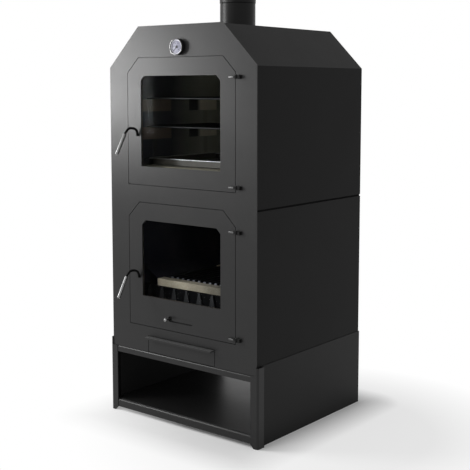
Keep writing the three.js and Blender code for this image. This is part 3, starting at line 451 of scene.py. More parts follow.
# %% Oven steel, browned by heat
def oven_steel_finish(name, cool, warm, roughness, metallic=0.85):
    finish = Finish(name)
    tint = finish.noise(4.0, 3.0)
    smear = finish.noise(26.0, 4.0, (1.0, 0.2, 1.0))
    rolled = finish.noise(500.0, 2.0, (1.0, 0.05, 1.0))
    surface = finish.shader(
        Base_Color=finish.blend((tint * 0.7 + smear * 0.5).rise(0.35, 0.85), cool, warm),
        Metallic=metallic,
        Roughness=roughness + 0.22 * (smear - 0.5) + 0.08 * (rolled - 0.5),
        Normal=finish.bump(rolled, 0.00005, 0.5),
    )
    return finish.finish(surface)


oven_steel = oven_steel_finish("oven_steel", shade(0.5, 0.48, 0.45), shade(0.4, 0.33, 0.26), 0.42)
guard_steel = oven_steel_finish("guard_steel", shade(0.12, 0.12, 0.125), shade(0.08), 0.65, 0.3)
tray_steel = oven_steel_finish(
    "tray_steel", shade(0.27, 0.26, 0.225), shade(0.22, 0.2, 0.17), 0.5, 0.3
)
slope_white = oven_steel_finish(
    "slope_white", shade(0.86, 0.86, 0.88), shade(0.8, 0.8, 0.83), 0.5, 0.0
)
print("four kinds of sheet")

# %% [markdown]
# ### Oven wall and runners
#
# Through the glass the oven is dark near the door and paler deep inside, where light from the
# window falls. Both finishes paint that over depth: painted shade near the door and painted light
# deep inside. The runners' webs get painted light near the door and at the back, with painted shade
# between, and the uprights take painted shade near the door and painted light at the back. The
# lowest web, beside the tray, gets painted shade but for its back end.


# %% Oven wall and its runners
def oven_wall_finish():
    finish = Finish("oven_wall")
    tint = finish.noise(4.0, 3.0)
    smear = finish.noise(26.0, 4.0, (1.0, 0.2, 1.0))
    # Painted shade near the door, painted light deep inside.
    deep = (finish.axis("Y") + (smear - 0.5) * 0.05).rise(-0.06, 0.14)
    near = finish.blend(tint, shade(0.22, 0.22, 0.235), shade(0.17, 0.17, 0.185))
    far_end = finish.blend(tint, shade(0.66, 0.66, 0.61), shade(0.54, 0.53, 0.47))
    surface = finish.shader(
        Base_Color=finish.blend(deep, near, far_end),
        Metallic=0.2,
        Roughness=0.55 + 0.22 * (smear - 0.5),
        Normal=finish.bump(smear, 0.0001, 0.4),
    )
    return finish.finish(surface)


WEB_TOPS = (1.097, 1.230, 1.348)
WEB_HEIGHT = 0.0525
ABOVE_LOWEST_WEB = 1.1


def runner_finish():
    finish = Finish("runner_steel")
    tint = finish.noise(9.0, 4.0)
    rolled = finish.noise(500.0, 2.0, (1.0, 0.05, 1.0))
    height = finish.axis("Z")
    webs = 0.0
    for top in WEB_TOPS:
        webs = webs + (height > top - WEB_HEIGHT) * (height < top + 0.001)
    depth = finish.axis("Y")
    # Painted light on the near webs and deep inside, painted shade between and on the lowest web.
    deep = depth.rise(0.105, 0.13)
    web_shade_colour = shade(0.2, 0.195, 0.19)
    web_shade_share = (depth.rise(0.02, 0.06) + (height < ABOVE_LOWEST_WEB)).clamp()
    lit_web_colour = finish.blend(tint, shade(0.42, 0.37, 0.32), shade(0.33, 0.29, 0.25))
    near = finish.blend(web_shade_share, lit_web_colour, web_shade_colour)
    far_end = finish.blend(tint, shade(0.9, 0.87, 0.8), shade(0.8, 0.76, 0.68))
    upright = finish.blend(deep, web_shade_colour, shade(0.56, 0.55, 0.5))
    surface = finish.shader(
        Base_Color=finish.blend(webs, upright, finish.blend(deep, near, far_end)),
        Metallic=0.15,
        Roughness=0.6 + 0.1 * (rolled - 0.5),
        Normal=finish.bump(rolled, 0.00005, 0.5),
    )
    return finish.finish(surface)


oven_wall = oven_wall_finish()
runner_steel = runner_finish()
print("oven wall and runners ready")

# %% [markdown]
# ### Bright steel and chrome
#
# Bare and plated metal shows its polish: fine lines along the way it was drawn, and smudges where
# it is touched. The stretch of the noise gives the direction of the lines.


# %% Bright steel and chrome
def bright_steel_finish(name, tone, roughness, stretch=(1.0, 1.0, 1.0)):
    finish = Finish(name)
    lines = finish.noise(900.0, 2.0, stretch)
    smudge = finish.noise(45.0, 3.0)
    surface = finish.shader(
        Base_Color=finish.blend(smudge, shade(tone * 0.93), shade(tone * 1.05)),
        Metallic=1.0,
        Roughness=roughness + 0.12 * (lines - 0.5) + 0.08 * (smudge - 0.5),
        Normal=finish.bump(lines, 0.00002, 0.5),
    )
    return finish.finish(surface)


grip_steel = bright_steel_finish("grip_steel", 0.5, 0.42, (1.0, 1.0, 0.06))
strap_steel = bright_steel_finish("strap_steel", 0.31, 0.42, (0.08, 1.0, 1.0))
rim_steel = bright_steel_finish("rim_steel", 0.8, 0.35)
chrome = bright_steel_finish("chrome", 0.5, 0.2)
rack_steel = bright_steel_finish("rack_steel", 0.17, 0.5)
print("five bright metals")

# %% [markdown]
# ### Firebrick
#
# Fireclay brick is pale and speckled with darker grains, and smoke stains it brown. Its right end
# is darker, a painted shade. Fine noise gives the grains and the bump, coarse noise the stains, and
# a ramp over the width the painted shade.


# %% Firebrick and oven stone
def firebrick_finish(name, pale, light, soot):
    """Pale speckled brick; soot sets how much painted shade darkens its right end."""
    finish = Finish(name)
    speck = finish.noise(260.0, 4.0, rough=0.7)
    stain = finish.noise(16.0, 4.0)
    base = finish.blend(speck.rise(0.35, 0.7), pale, light)
    stained = finish.blend(stain.rise(0.55, 0.8) * 0.4, base, shade(0.62, 0.55, 0.44))
    # The right end is darkened by a ramp over the width, a painted shade.
    right_end_shade = ((finish.axis("X") + (stain - 0.5) * 0.1).rise(-0.2, 0.16) * soot).clamp()
    surface = finish.shader(
        Base_Color=finish.blend(right_end_shade, stained, shade(0.22, 0.21, 0.185)),
        Roughness=0.9,
        Normal=finish.bump(speck, 0.0005, 0.7),
    )
    return finish.finish(surface)


firebrick = firebrick_finish("firebrick", shade(0.74, 0.69, 0.58), shade(0.88, 0.84, 0.75), 0.9)
oven_stone = firebrick_finish("oven_stone", shade(0.44, 0.42, 0.36), shade(0.55, 0.53, 0.46), 0.3)
print("two kinds of brick")

# %% [markdown]
# ### Dial enamel and needle black
#
# The dial is white enamel with a printed scale: 25 steps over 270 degrees and a long mark at every
# fifth. Print has no thickness, so the marks are worked out in the finish from the angle and the
# distance to the dial's centre, which also keeps them sharp at any zoom.

# %% Dial enamel and needle black
GAUGE_HEIGHT = 1.556
SCALE_SPAN = 270.0
SCALE_STEP = SCALE_SPAN / 25
LONG_STEP = 5 * SCALE_STEP
LONG_MARK, SHORT_MARK, MARK_END, RIM_LINE = 0.0188, 0.0200, 0.0230, 0.0234


def dial_enamel_finish():
    finish = Finish("dial_enamel")
    age = finish.noise(120.0, 3.0)
    white = finish.blend(age, shade(0.58, 0.58, 0.64), shade(0.5, 0.5, 0.56))
    across = finish.axis("X")
    up = finish.axis("Z") - GAUGE_HEIGHT
    radius = (across * across + up * up) ** 0.5
    turn = across.math("ARCTAN2", across, up) * (180 / math.pi)
    scale_end = SCALE_SPAN / 2 + 1.5
    on_scale = (turn > -scale_end) * (turn < scale_end)

    def ring(inner, outer):
        return (radius > inner) * (radius < outer)

    def marks(step, half_width):
        nearest = turn.math("PINGPONG", turn + SCALE_SPAN / 2, step / 2)
        return (nearest * radius * (math.pi / 180)) < half_width

    short = marks(SCALE_STEP, 0.00016) * ring(SHORT_MARK, MARK_END)
    long = marks(LONG_STEP, 0.0003) * ring(LONG_MARK, MARK_END)
    printed = (short + long + ring(MARK_END, RIM_LINE)).clamp() * on_scale
    surface = finish.shader(
        Base_Color=finish.blend(printed, white, shade(0.08)),
        Roughness=0.4 + 0.1 * (age - 0.5),
    )
    return finish.finish(surface)


def needle_finish():
    finish = Finish("needle_black")
    grain = finish.noise(300.0, 3.0)
    colour = finish.blend(grain, shade(0.06), shade(0.09))
    return finish.finish(finish.shader(Base_Color=colour, Roughness=0.45 + 0.1 * grain))


dial_enamel = dial_enamel_finish()
needle_black = needle_finish()
print("a mark every", SCALE_STEP, "degrees")

# %% [markdown]
# ## Glass
#
# The panes are clear glass ceramic: seen at a slant they mirror a little, and straight on they let
# nearly all light through. A Principled glass would also bend the light, and the inside would go
# black without caustics. A pane is thin, so a mix of a transparent and a mirror shader is truer
# here, with a factor that rises with the slant and a faint film that makes the mirror uneven.


# %% Stove glass
def pane_finish(name, see_through, mirror_share):
    finish = Finish(name)
    film = finish.noise(7.0, 4.0)
    clear = finish.node("ShaderNodeBsdfTransparent", None, {"Color": see_through})
    mirror = finish.shader(Base_Color=shade(0.95), Metallic=1.0, Roughness=0.03 + 0.03 * film)
    slant = finish.node("ShaderNodeLayerWeight", None, {"Blend": 0.5}, "Facing")
    inputs = {0: mirror_share * slant**5.0, 1: clear, 2: mirror}
    return finish.finish(finish.node("ShaderNodeMixShader", None, inputs))


stove_glass = pane_finish("stove_glass", (0.94, 0.95, 0.96, 1.0), 0.35)
dial_glass = pane_finish("dial_glass", (0.96, 0.96, 0.97, 1.0), 0.5)
print("two kinds of glass")

# %% [markdown]
# ## Fire rope
#
# The door seals are braided glass rope, grey and soft. Modelling the strands would take thousands
# of faces in a channel that is hardly seen. Two crossed sine waves give the braid and noise its
# fuzz, both as colour and as bump.

# %% Fire rope
BRAID_PITCH = 900.0


def rope_finish():
    finish = Finish("fire_rope")
    x, y, z = finish.axis("X"), finish.axis("Y"), finish.axis("Z")
    one = ((x + z * 1.13 + y * 0.8) * BRAID_PITCH).sine()
    two = ((x * 1.07 - z + y * 0.9) * BRAID_PITCH).sine()
    weave = (one * two) * 0.5 + 0.5
    fuzz = finish.noise(800.0, 3.0)
    strands = weave * 0.7 + fuzz * 0.3
    surface = finish.shader(
        Base_Color=finish.blend(strands, shade(0.16, 0.16, 0.155), shade(0.42, 0.41, 0.38)),
        Roughness=0.95,
        Normal=finish.bump(weave + fuzz * 0.4, 0.0008, 0.9),
    )
    return finish.finish(surface)


fire_rope = rope_finish()
print("rope ready")

# %% [markdown]
# ## Dressing the CAD pieces
#
# Most CAD pieces already have the right shape, so they only get a finish. The record says which
# material slot each piece belongs to, and a few pieces differ from the rest of their slot.

# %% Finish for every CAD piece
FINISH_OF_SLOT = {
    "black_paint": front_paint,
    "cast_iron": cast_iron,
    "oven_steel": oven_steel,
    "bare_steel": grip_steel,
    "chrome": chrome,
    "firebrick": firebrick,
    "fire_rope": fire_rope,
    "stove_glass": stove_glass,
    "dial_white": dial_enamel,
    "needle_black": needle_black,
}
FINISH_OF_NODE = {
    "firebox_casing": low_side_paint,
    "oven_casing": side_paint,
    "oven_rear_panel": side_paint,
    "divider_plate": seam_paint,
    "front_plate": plate_paint,
    "upper_door_panel": plate_paint,
    "lower_door_panel": plate_paint,
    "base_side_left": base_side_paint,
    "base_side_right": base_side_paint,
    "base_back_panel": base_paint,
    "front_post_left": base_paint,
    "front_post_right": base_paint,
    "upper_front_rail": base_paint,
    "lower_front_rail": base_paint,
    "base_shelf": shelf_paint,
    "ash_drawer_front": drawer_paint,
    "air_slide_plate": slide_paint,
    "firebox_liner_left": sooty_iron,
    "firebox_liner_right": sooty_iron,
    "firebox_liner_back": sooty_iron,
    "hearth_support": soot_black,
    "oven_box": oven_wall,
    "oven_rack_lower": rack_steel,
    "oven_rack_upper": rack_steel,
    "flue_collar": flue_paint,
    "tray_support_left": runner_steel,
    "tray_support_right": runner_steel,
    "baking_tray": tray_steel,
    "log_guard": guard_steel,
    "oven_floor_stone": oven_stone,
    "thermometer_lens": dial_glass,
}

for part in frame["record"]["subparts"]:
    usual = FINISH_OF_SLOT[part["material_slot"]]
    piece = nodes[part["node"]]
    piece.data.materials.clear()
    piece.data.materials.append(FINISH_OF_NODE.get(part["node"], usual))

# %% [markdown]
# ## Hand tools
#
# The round and rounded pieces are modelled as by hand. A new primitive comes selected all over and
# the CAD pieces are selected too, so every step first deselects everything and then picks what it
# needs by place. One helper starts edit mode, one rounds edges with a Bevel modifier, and one
# gives the finished piece its finish and the body that it rides on.


# %% Select, edit and round
def select_only(piece):
    bpy.ops.object.select_all(action="DESELECT")
    piece.select_set(True)
    bpy.context.view_layer.objects.active = piece


def edit(piece, pick="VERT"):
    select_only(piece)
    bpy.ops.object.mode_set(mode="EDIT")
    bpy.ops.mesh.select_mode(type=pick)
    bpy.ops.mesh.select_all(action="DESELECT")


def pick_faces(piece, wanted):
    mesh = bmesh.from_edit_mesh(piece.data)
    for face in mesh.faces:
        face.select_set(wanted(face.calc_center_median(), face.normal))
    bmesh.update_edit_mesh(piece.data)


def merge_all(apart):
    """In edit mode: merges points that lie closer together than apart."""
    bpy.ops.mesh.select_all(action="SELECT")
    bpy.ops.mesh.remove_doubles(threshold=apart)


def close_seams():
    """In edit mode: merges doubled points and turns all faces outwards."""
    merge_all(0.000002)
    bpy.ops.mesh.normals_make_consistent(inside=False)


def smooth(degrees):
    bpy.ops.object.shade_smooth_by_angle(angle=math.radians(degrees))


def round_edges(piece, width, segments=3, angle=35.0):
    bpy.ops.object.mode_set(mode="OBJECT")
    bpy.context.view_layer.objects.active = piece
    bevel = piece.modifiers.new("round", "BEVEL")
    bevel.width = width
    bevel.segments = segments
    bevel.limit_method = "ANGLE"
    bevel.angle_limit = math.radians(angle)
    bpy.ops.object.modifier_apply(modifier="round")
    smooth(angle)


print("editing tools ready")

# %% [markdown]
# ### Copies and places
#
# What repeats is modelled once and copied, each copy with its own mesh. The export puts every
# object back at the origin, so the turn and the place of a piece go into its mesh before it is
# settled.


# %% Place, copy, join and settle
def apply_place(piece):
    """Puts the object's turn and place into its mesh, so that the object sits at the origin."""
    select_only(piece)
    bpy.ops.object.transform_apply(location=True, rotation=True, scale=True)


def place_along(piece, place, direction):
    piece.rotation_euler = Vector(direction).to_track_quat("Z", "Y").to_euler()
    piece.location = place
    apply_place(piece)


def copied(piece, shift):
    twin = piece.copy()
    twin.data = piece.data.copy()
    bpy.context.scene.collection.objects.link(twin)
    twin.location = shift
    apply_place(twin)
    return twin


def joined(pieces):
    bpy.ops.object.select_all(action="DESELECT")
    for piece in pieces:
        piece.select_set(True)
    bpy.context.view_layer.objects.active = pieces[0]
    bpy.ops.object.join()
    return bpy.context.object


def settle(piece, name, finish, body, stands_for=None):
    piece.name = name
    piece.data.materials.clear()
    piece.data.materials.append(finish)
    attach(piece, body)
    if stands_for:
        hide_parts(stands_for)
    print(name, "rides", body, "with", len(piece.data.polygons), "faces")


print("placing tools ready")

# %% [markdown]
# ## Turned pieces
#
# The flue collar, the thermometer, the knob, the grips and the pins are all round. Each could be a
# cylinder with extra loops, but drawing half of its section and spinning it once gives every step
# and groove in one go. The section is drawn by extruding a single vertex from point to point.


# %% Draw a section and spin it
def turned(section, steps=64, rounding=0.0004):
    """The section is a list of (radius, height) pairs about the piece's own Z axis."""
    bpy.ops.object.select_all(action="DESELECT")
    bpy.ops.mesh.primitive_plane_add(size=0.001, location=(0.0, 0.0, 0.0))
    piece = bpy.context.object
    edit(piece)
    bpy.ops.mesh.select_all(action="SELECT")
    bpy.ops.mesh.merge(type="CENTER")
    bpy.ops.transform.translate(value=(section[0][0], 0.0, section[0][1]))
    for (radius, height), (next_radius, next_height) in zip(section, section[1:]):
        step = (next_radius - radius, 0.0, next_height - height)
        bpy.ops.mesh.extrude_region_move(TRANSFORM_OT_translate={"value": step})
    bpy.ops.mesh.select_all(action="SELECT")
    bpy.ops.mesh.spin(steps=steps, angle=2 * math.pi, center=(0.0, 0.0, 0.0), axis=(0.0, 0.0, 1.0))
    close_seams()
    round_edges(piece, rounding)
    return piece


print("turning ready")

# %% [markdown]
# ### Flue collar
#
# A short steel tube takes the chimney pipe. Its top is rolled outwards to a low bead, which reads
# as a line around the rim, and a flange holds it under the roof.

# %% Flue collar
flue_low, flue_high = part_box("flue_collar")
flue_centre = ((flue_low[0] + flue_high[0]) / 2, (flue_low[1] + flue_high[1]) / 2, 0.0)
collar = turned(
    [
        (0.073, 1.6362),
        (0.093, 1.6362),
        (0.093, 1.6382),
        (0.075, 1.6382),
        (0.075, 1.7470),
        (0.0741, 1.7480),
        (0.0741, 1.7490),
        (0.0764, 1.7502),
        (0.0766, 1.7600),
        (0.0766, 1.7700),
        (0.0730, 1.7700),
        (0.0730, 1.6362),
    ],
    steps=96,
    rounding=0.0006,
)
place_along(collar, flue_centre, (0.0, 0.0, 1.0))
settle(collar, "flue_collar_rolled", flue_paint, "cabinet", "flue_collar")

# %% [markdown]
# ### Thermometer
#
# A drum of black sheet holds a white dial behind a bright ring, with a white slope between dial
# and ring. All are turned about the same axis, so one place serves them. The needle of the CAD
# model stays and only gets a cap on its hub.

# %% Drum, ring, dial and slope
DOOR_FACE = -0.319384
GAUGE_CENTRE = (0.0, DOOR_FACE, GAUGE_HEIGHT)
OUTWARDS = (0.0, -1.0, 0.0)
drum = turned(
    [
        (0.0, 0.0120),
        (0.0297, 0.0120),
        (0.0297, 0.0170),
        (0.0323, 0.0170),
        (0.0323, 0.0003),
        (0.0040, 0.0003),
        (0.0040, -0.0920),
        (0.0, -0.0920),
    ],
    rounding=0.0005,
)
place_along(drum, GAUGE_CENTRE, OUTWARDS)
settle(drum, "thermometer_drum", front_paint, "cabinet", "thermometer_case")

ring = turned(
    [
        (0.0287, 0.0173),
        (0.0291, 0.0190),
        (0.0302, 0.0197),
        (0.0313, 0.0195),
        (0.0321, 0.0186),
        (0.0323, 0.0173),
        (0.0287, 0.0173),
    ],
    steps=96,
    rounding=0.0002,
)
place_along(ring, GAUGE_CENTRE, OUTWARDS)
settle(ring, "thermometer_ring", chrome, "cabinet", "thermometer_bezel")

dial = turned([(0.0, 0.0123), (0.0294, 0.0123), (0.0294, 0.0133), (0.0, 0.0133)], rounding=0.0001)
place_along(dial, GAUGE_CENTRE, OUTWARDS)
settle(dial, "thermometer_scale", dial_enamel, "cabinet", "thermometer_dial")

slope = turned(
    [(0.0286, 0.0158), (0.0240, 0.0134), (0.0286, 0.0134), (0.0286, 0.0158)], rounding=0.0001
)
place_along(slope, GAUGE_CENTRE, OUTWARDS)
settle(slope, "thermometer_inner_slope", slope_white, "cabinet")

hub = turned([(0.0, 0.0144), (0.0056, 0.0144), (0.0053, 0.0151), (0.0036, 0.0155), (0.0, 0.0156)])
place_along(hub, GAUGE_CENTRE, OUTWARDS)
settle(hub, "needle_hub_cap", needle_black, "thermometer_pointer")

# %% [markdown]
# ### Numbers on the dial
#
# Plain numbers from 0 to 500 stand at the long marks. They could be painted in the finish like the
# marks, but digits are hard to write as sums. Text objects are easier: each is made a mesh, turned
# upright and laid on the enamel, and all six become one piece.

# %% Numbers on the dial
NUMBER_SIZE = 0.0047
NUMBER_RELIEF = 0.00005
NUMBER_RADIUS = 0.0157
ENAMEL_FRONT = DOOR_FACE - 0.01336


def dial_number(text, turn):
    bpy.ops.object.select_all(action="DESELECT")
    bpy.ops.object.text_add(location=(0.0, 0.0, 0.0))
    number = bpy.context.object
    number.data.body = text
    number.data.size = NUMBER_SIZE
    number.data.extrude = NUMBER_RELIEF
    number.data.align_x = "CENTER"
    number.data.align_y = "CENTER"
    bpy.ops.object.convert(target="MESH")
    angle = math.radians(turn)
    number.location = (
        GAUGE_CENTRE[0] + NUMBER_RADIUS * math.sin(angle),
        ENAMEL_FRONT,
        GAUGE_CENTRE[2] + NUMBER_RADIUS * math.cos(angle),
    )
    number.rotation_euler = (math.radians(90), 0.0, 0.0)
    apply_place(number)
    return number


dial_numbers = joined(
    [dial_number(str(step * 100), step * LONG_STEP - SCALE_SPAN / 2) for step in range(6)]
)
edit(dial_numbers)
merge_all(0.000001)
bpy.ops.object.mode_set(mode="OBJECT")
settle(dial_numbers, "dial_numbers", needle_black, "cabinet")

# %% [markdown]
# ### Hinge pins
#
# Each hinge has a loose pin with a low domed head, so that a door can be lifted off. One pin is
# turned and copied to all four hinges.

# %% Hinge pins
HINGE_AXIS = (0.298, DOOR_FACE - 0.009)
HINGE_HEIGHTS = {
    "upper_door": {"top": 1.436, "bottom": 1.014},
    "lower_door": {"top": 0.841, "bottom": 0.419},
}
pin = turned(
    [
        (0.0, -0.0070),
        (0.0030, -0.0070),
        (0.0030, 0.0073),
        (0.0046, 0.0073),
        (0.0046, 0.0081),
        (0.0041, 0.0089),
        (0.0028, 0.0095),
        (0.0, 0.0097),
    ],
    steps=32,
    rounding=0.0003,
)
for door, places in HINGE_HEIGHTS.items():
    for place, height in places.items():
        copy_of_pin = copied(pin, (*HINGE_AXIS, height))
        node = f"{door}_hinge_pin_{place}"
        body = nodes[node]["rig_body"]
        settle(copy_of_pin, f"{door}_domed_pin_{place}", front_paint, body, node)
bpy.data.objects.remove(pin)

# %% [markdown]
# ### Hinge straps
#
# A bright steel strap is welded to the door beside each hinge. It starts as a bar the size of the
# arm that reaches to the pin. The bar is cut once with Bisect, and the part of its back that lies
# over the door is extruded onto the door's face.

# %% Hinge straps
ARM_LEFT, ARM_RIGHT = 0.2610, 0.2860
ARM_FRONT, ARM_BACK = DOOR_FACE - 0.0114, DOOR_FACE - 0.0047
ARM_HEIGHT = 0.0076
DOOR_EDGE = 0.2830


def hinge_strap(height):
    bpy.ops.object.select_all(action="DESELECT")
    bpy.ops.mesh.primitive_cube_add(
        size=1.0,
        location=((ARM_LEFT + ARM_RIGHT) / 2, (ARM_FRONT + ARM_BACK) / 2, height),
        scale=(ARM_RIGHT - ARM_LEFT, ARM_BACK - ARM_FRONT, ARM_HEIGHT),
    )
    strap = bpy.context.object
    apply_place(strap)
    edit(strap, "FACE")
    bpy.ops.mesh.select_all(action="SELECT")
    bpy.ops.mesh.bisect(plane_co=(DOOR_EDGE, 0.0, 0.0), plane_no=(1.0, 0.0, 0.0))
    bpy.ops.mesh.select_all(action="DESELECT")
    pick_faces(strap, lambda centre, normal: normal.y > 0.9 and centre.x < DOOR_EDGE)
    to_door = (0.0, DOOR_FACE - ARM_BACK, 0.0)
    bpy.ops.mesh.extrude_region_move(TRANSFORM_OT_translate={"value": to_door})
    round_edges(strap, width=0.0011)
    return strap


strap = hinge_strap(0.0)
for door, places in HINGE_HEIGHTS.items():
    for place, height in places.items():
        name = f"{door}_hinge_strap_{place}"
        settle(copied(strap, (0.0, 0.0, height)), name, strap_steel, door)
bpy.data.objects.remove(strap)

# %% [markdown]
# ## Door handles
#
# Each handle is one round rod. It leaves the door, arches up and over, and runs down into a bright
# steel grip. A Bezier curve with a round bevel keeps its thickness even along the bends, where an
# extruded cylinder would pinch. All points are relative to the handle's spindle, so one rod and
# one grip serve both doors.

# %% A bevelled curve as a solid
GRIP_TOP = Vector((-0.023, -0.054, 0.004))
GRIP_RUN = Vector((0.006, -0.054, -0.080))
GRIP_WAY = GRIP_RUN.normalized()
ROD_RADIUS = 0.005


def free_handles(*points):
    for point in points:
        point.handle_left_type = point.handle_right_type = "FREE"


def solid_curve(curve, radius, steps, smooth_angle):
    curve.data.bevel_depth = radius
    curve.data.bevel_resolution = 5
    curve.data.resolution_u = steps
    curve.data.use_fill_caps = True
    bpy.ops.object.convert(target="MESH")
    edit(curve)
    close_seams()
    bpy.ops.object.mode_set(mode="OBJECT")
    smooth(smooth_angle)
    return curve


print("a grip is", round(GRIP_RUN.length, 4), "long")

# %% [markdown]
# ### Rod and grip
#
# Five points carry the rod: inside the door, just in front of it, on top of the arch, at the mouth
# of the grip and inside the grip. Their handles are set free, because automatic ones would bulge
# between short and long stretches. The grip is turned, hollow where the rod enters, and rounded.


# %% Rod and grip
def handle_rod():
    """Each point of the run is followed by its two Bezier handles, before and after it."""
    stub = Vector((0.0, -0.004, 0.0))
    top = Vector((-0.010, -0.031, 0.029))
    over = Vector((GRIP_TOP.x - stub.x, GRIP_TOP.y - stub.y, 0.0)).normalized()
    run = (
        (Vector((0.0, 0.0249, 0.0)), Vector((0.0, 0.035, 0.0)), Vector((0.0, 0.015, 0.0))),
        (stub, Vector((0.0, 0.002, 0.0)), stub + Vector((0.009, -0.009, 0.015))),
        (top, top - over * 0.026, top + over * 0.016),
        (GRIP_TOP, GRIP_TOP - GRIP_WAY * 0.009, GRIP_TOP + GRIP_WAY * 0.009),
        (GRIP_TOP + GRIP_WAY * 0.0305, GRIP_TOP + GRIP_WAY * 0.02, GRIP_TOP + GRIP_WAY * 0.035),
    )
    bpy.ops.object.select_all(action="DESELECT")
    bpy.ops.curve.primitive_bezier_curve_add(location=(0.0, 0.0, 0.0))
    rod = bpy.context.object
    points = rod.data.splines[0].bezier_points
    points.add(len(run) - 2)
    for point, (place, before, after) in zip(points, run):
        free_handles(point)
        point.co, point.handle_left, point.handle_right = place, before, after
    return solid_curve(rod, ROD_RADIUS, steps=14, smooth_angle=40)


rod = handle_rod()
grip = turned(
    [
        (0.0, 0.031),
        (0.0053, 0.031),
        (0.0053, 0.0),
        (0.0070, 0.0),
        (0.0070, GRIP_RUN.length),
        (0.0, GRIP_RUN.length),
    ],
    steps=48,
    rounding=0.0012,
)
place_along(grip, GRIP_TOP, GRIP_WAY)
for level, spindle_height in {"upper": 1.201, "lower": 0.606}.items():
    spindle = (-0.230, DOOR_FACE, spindle_height)
    body, node = f"{level}_handle", f"{level}_door_handle"
    rod_copy, grip_copy = copied(rod, spindle), copied(grip, spindle)
    settle(rod_copy, f"{level}_bent_rod", rod_paint, body, node + "_rod")
    settle(grip_copy, f"{level}_steel_grip", grip_steel, body, node + "_grip")
bpy.data.objects.remove(rod)
bpy.data.objects.remove(grip)

# %% [markdown]
# ## Grate ribs
#
# Two small forms carry most of what shows through the glass. One is the grate, whose bars stand up
# in ribs behind the firebrick. One rib starts as a bar, its top is inset and raised a little, and
# the rest are copies.

# %% Grate ribs
GRATE_LOW, GRATE_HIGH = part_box("fire_grate")
RIB_COUNT = 12
FIRST_RIB = -0.165
RIB_PITCH = 0.030
RIB_WIDTH = 0.012
RIB_HEIGHT = 0.0084
RIB_SHORTER = 0.006
RIB_TOP_INSET = 0.0025
RIB_TOP_RISE = 0.0012


def grate_rib():
    length = GRATE_HIGH[1] - GRATE_LOW[1] - RIB_SHORTER
    bpy.ops.object.select_all(action="DESELECT")
    bpy.ops.mesh.primitive_cube_add(
        size=1.0,
        location=(0.0, (GRATE_HIGH[1] + GRATE_LOW[1]) / 2, GRATE_HIGH[2] + RIB_HEIGHT / 2),
        scale=(RIB_WIDTH, length, RIB_HEIGHT),
    )
    rib = bpy.context.object
    apply_place(rib)
    edit(rib, "FACE")
    pick_faces(rib, lambda centre, normal: normal.z > 0.9)
    bpy.ops.mesh.inset(thickness=RIB_TOP_INSET)
    bpy.ops.transform.translate(value=(0.0, 0.0, RIB_TOP_RISE))
    round_edges(rib, width=0.0008, segments=2)
    return rib


rib = grate_rib()
ribs = [copied(rib, (FIRST_RIB + RIB_PITCH * index, 0.0, 0.0)) for index in range(RIB_COUNT)]
bpy.data.objects.remove(rib)
settle(joined(ribs), "grate_ribs", rib_iron, "cabinet")

# %% [markdown]
# ## The tray's rolled rim
#
# The other small form is the baking tray's rim, which draws the pale line across the upper window.
# Sheet that is rolled over a wire has a round edge, so a thin closed curve runs around the top of
# the tray. A Bezier circle gets two points at each corner, so that the corners stay round.


# %% A closed tube through rounded corners
def closed_tube(corners, turn, radius):
    """The turn is how far before and after each corner the tube starts to bend."""
    bpy.ops.object.select_all(action="DESELECT")
    bpy.ops.curve.primitive_bezier_circle_add(location=(0.0, 0.0, 0.0))
    tube = bpy.context.object
    points = tube.data.splines[0].bezier_points
    points.add(2 * len(corners) - 4)
    for index, corner in enumerate(corners):
        before = (corners[index - 1] - corner).normalized()
        after = (corners[(index + 1) % len(corners)] - corner).normalized()
        first, second = points[2 * index], points[2 * index + 1]
        free_handles(first, second)
        first.co = corner + before * turn
        first.handle_left = corner + before * 1.5 * turn
        first.handle_right = corner + before * 0.45 * turn
        second.co = corner + after * turn
        second.handle_left = corner + after * 0.45 * turn
        second.handle_right = corner + after * 1.5 * turn
    return solid_curve(tube, radius, steps=8, smooth_angle=60)


print("tubes ready")

# %% Tray rim
TRAY_LOW, TRAY_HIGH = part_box("baking_tray")
RIM_INSET = 0.0008
RIM_RADIUS = 0.0021
rim_left, rim_right = TRAY_LOW[0] + RIM_INSET, TRAY_HIGH[0] - RIM_INSET
rim_front, rim_back = TRAY_LOW[1] + RIM_INSET, TRAY_HIGH[1] - RIM_INSET
rim_corners = [
    Vector((rim_left, rim_front, TRAY_HIGH[2])),
    Vector((rim_right, rim_front, TRAY_HIGH[2])),
    Vector((rim_right, rim_back, TRAY_HIGH[2])),
    Vector((rim_left, rim_back, TRAY_HIGH[2])),
]
rim = closed_tube(rim_corners, turn=0.012, radius=RIM_RADIUS)
settle(rim, "tray_rolled_rim", rim_steel, "cabinet")

# %% [markdown]
# ## Air knob
#
# The knob of the air regulator is a small bright mushroom on a thin stem. Its section has a rounded
# crown and a waist behind it, which catches a dark line.

# %% Air knob
KNOB_PLACE = (-0.061, DOOR_FACE, 0.449)
knob = turned(
    [
        (0.0, 0.0300),
        (0.0040, 0.0297),
        (0.0064, 0.0285),
        (0.0078, 0.0262),
        (0.0080, 0.0225),
        (0.0068, 0.0200),
        (0.0038, 0.0188),
        (0.0035, -0.0040),
        (0.0, -0.0040),
    ],
    steps=48,
    rounding=0.0003,
)
place_along(knob, KNOB_PLACE, OUTWARDS)
settle(knob, "air_knob_crowned", grip_steel, "air_slide", "air_knob")

# %% [markdown]
# ## Rope seals
#
# A braided glass rope lies in the channel at the back of each door and seals it against its frame.
# The CAD piece is square in section. Here a closed Bezier curve follows the middle of the channel
# with rounded corners, and its round bevel gives the rope's soft section.

# %% Rope seals
DOOR_BOTTOMS = {"upper_door": 0.996, "lower_door": 0.401}
DOOR_HEIGHT = 0.520
ROPE_INSET = 0.012
ROPE_HALF_WIDTH = 0.274
ROPE_CORNER = 0.054
ROPE_DEPTH = DOOR_FACE + 0.0097
ROPE_RADIUS = 0.0054


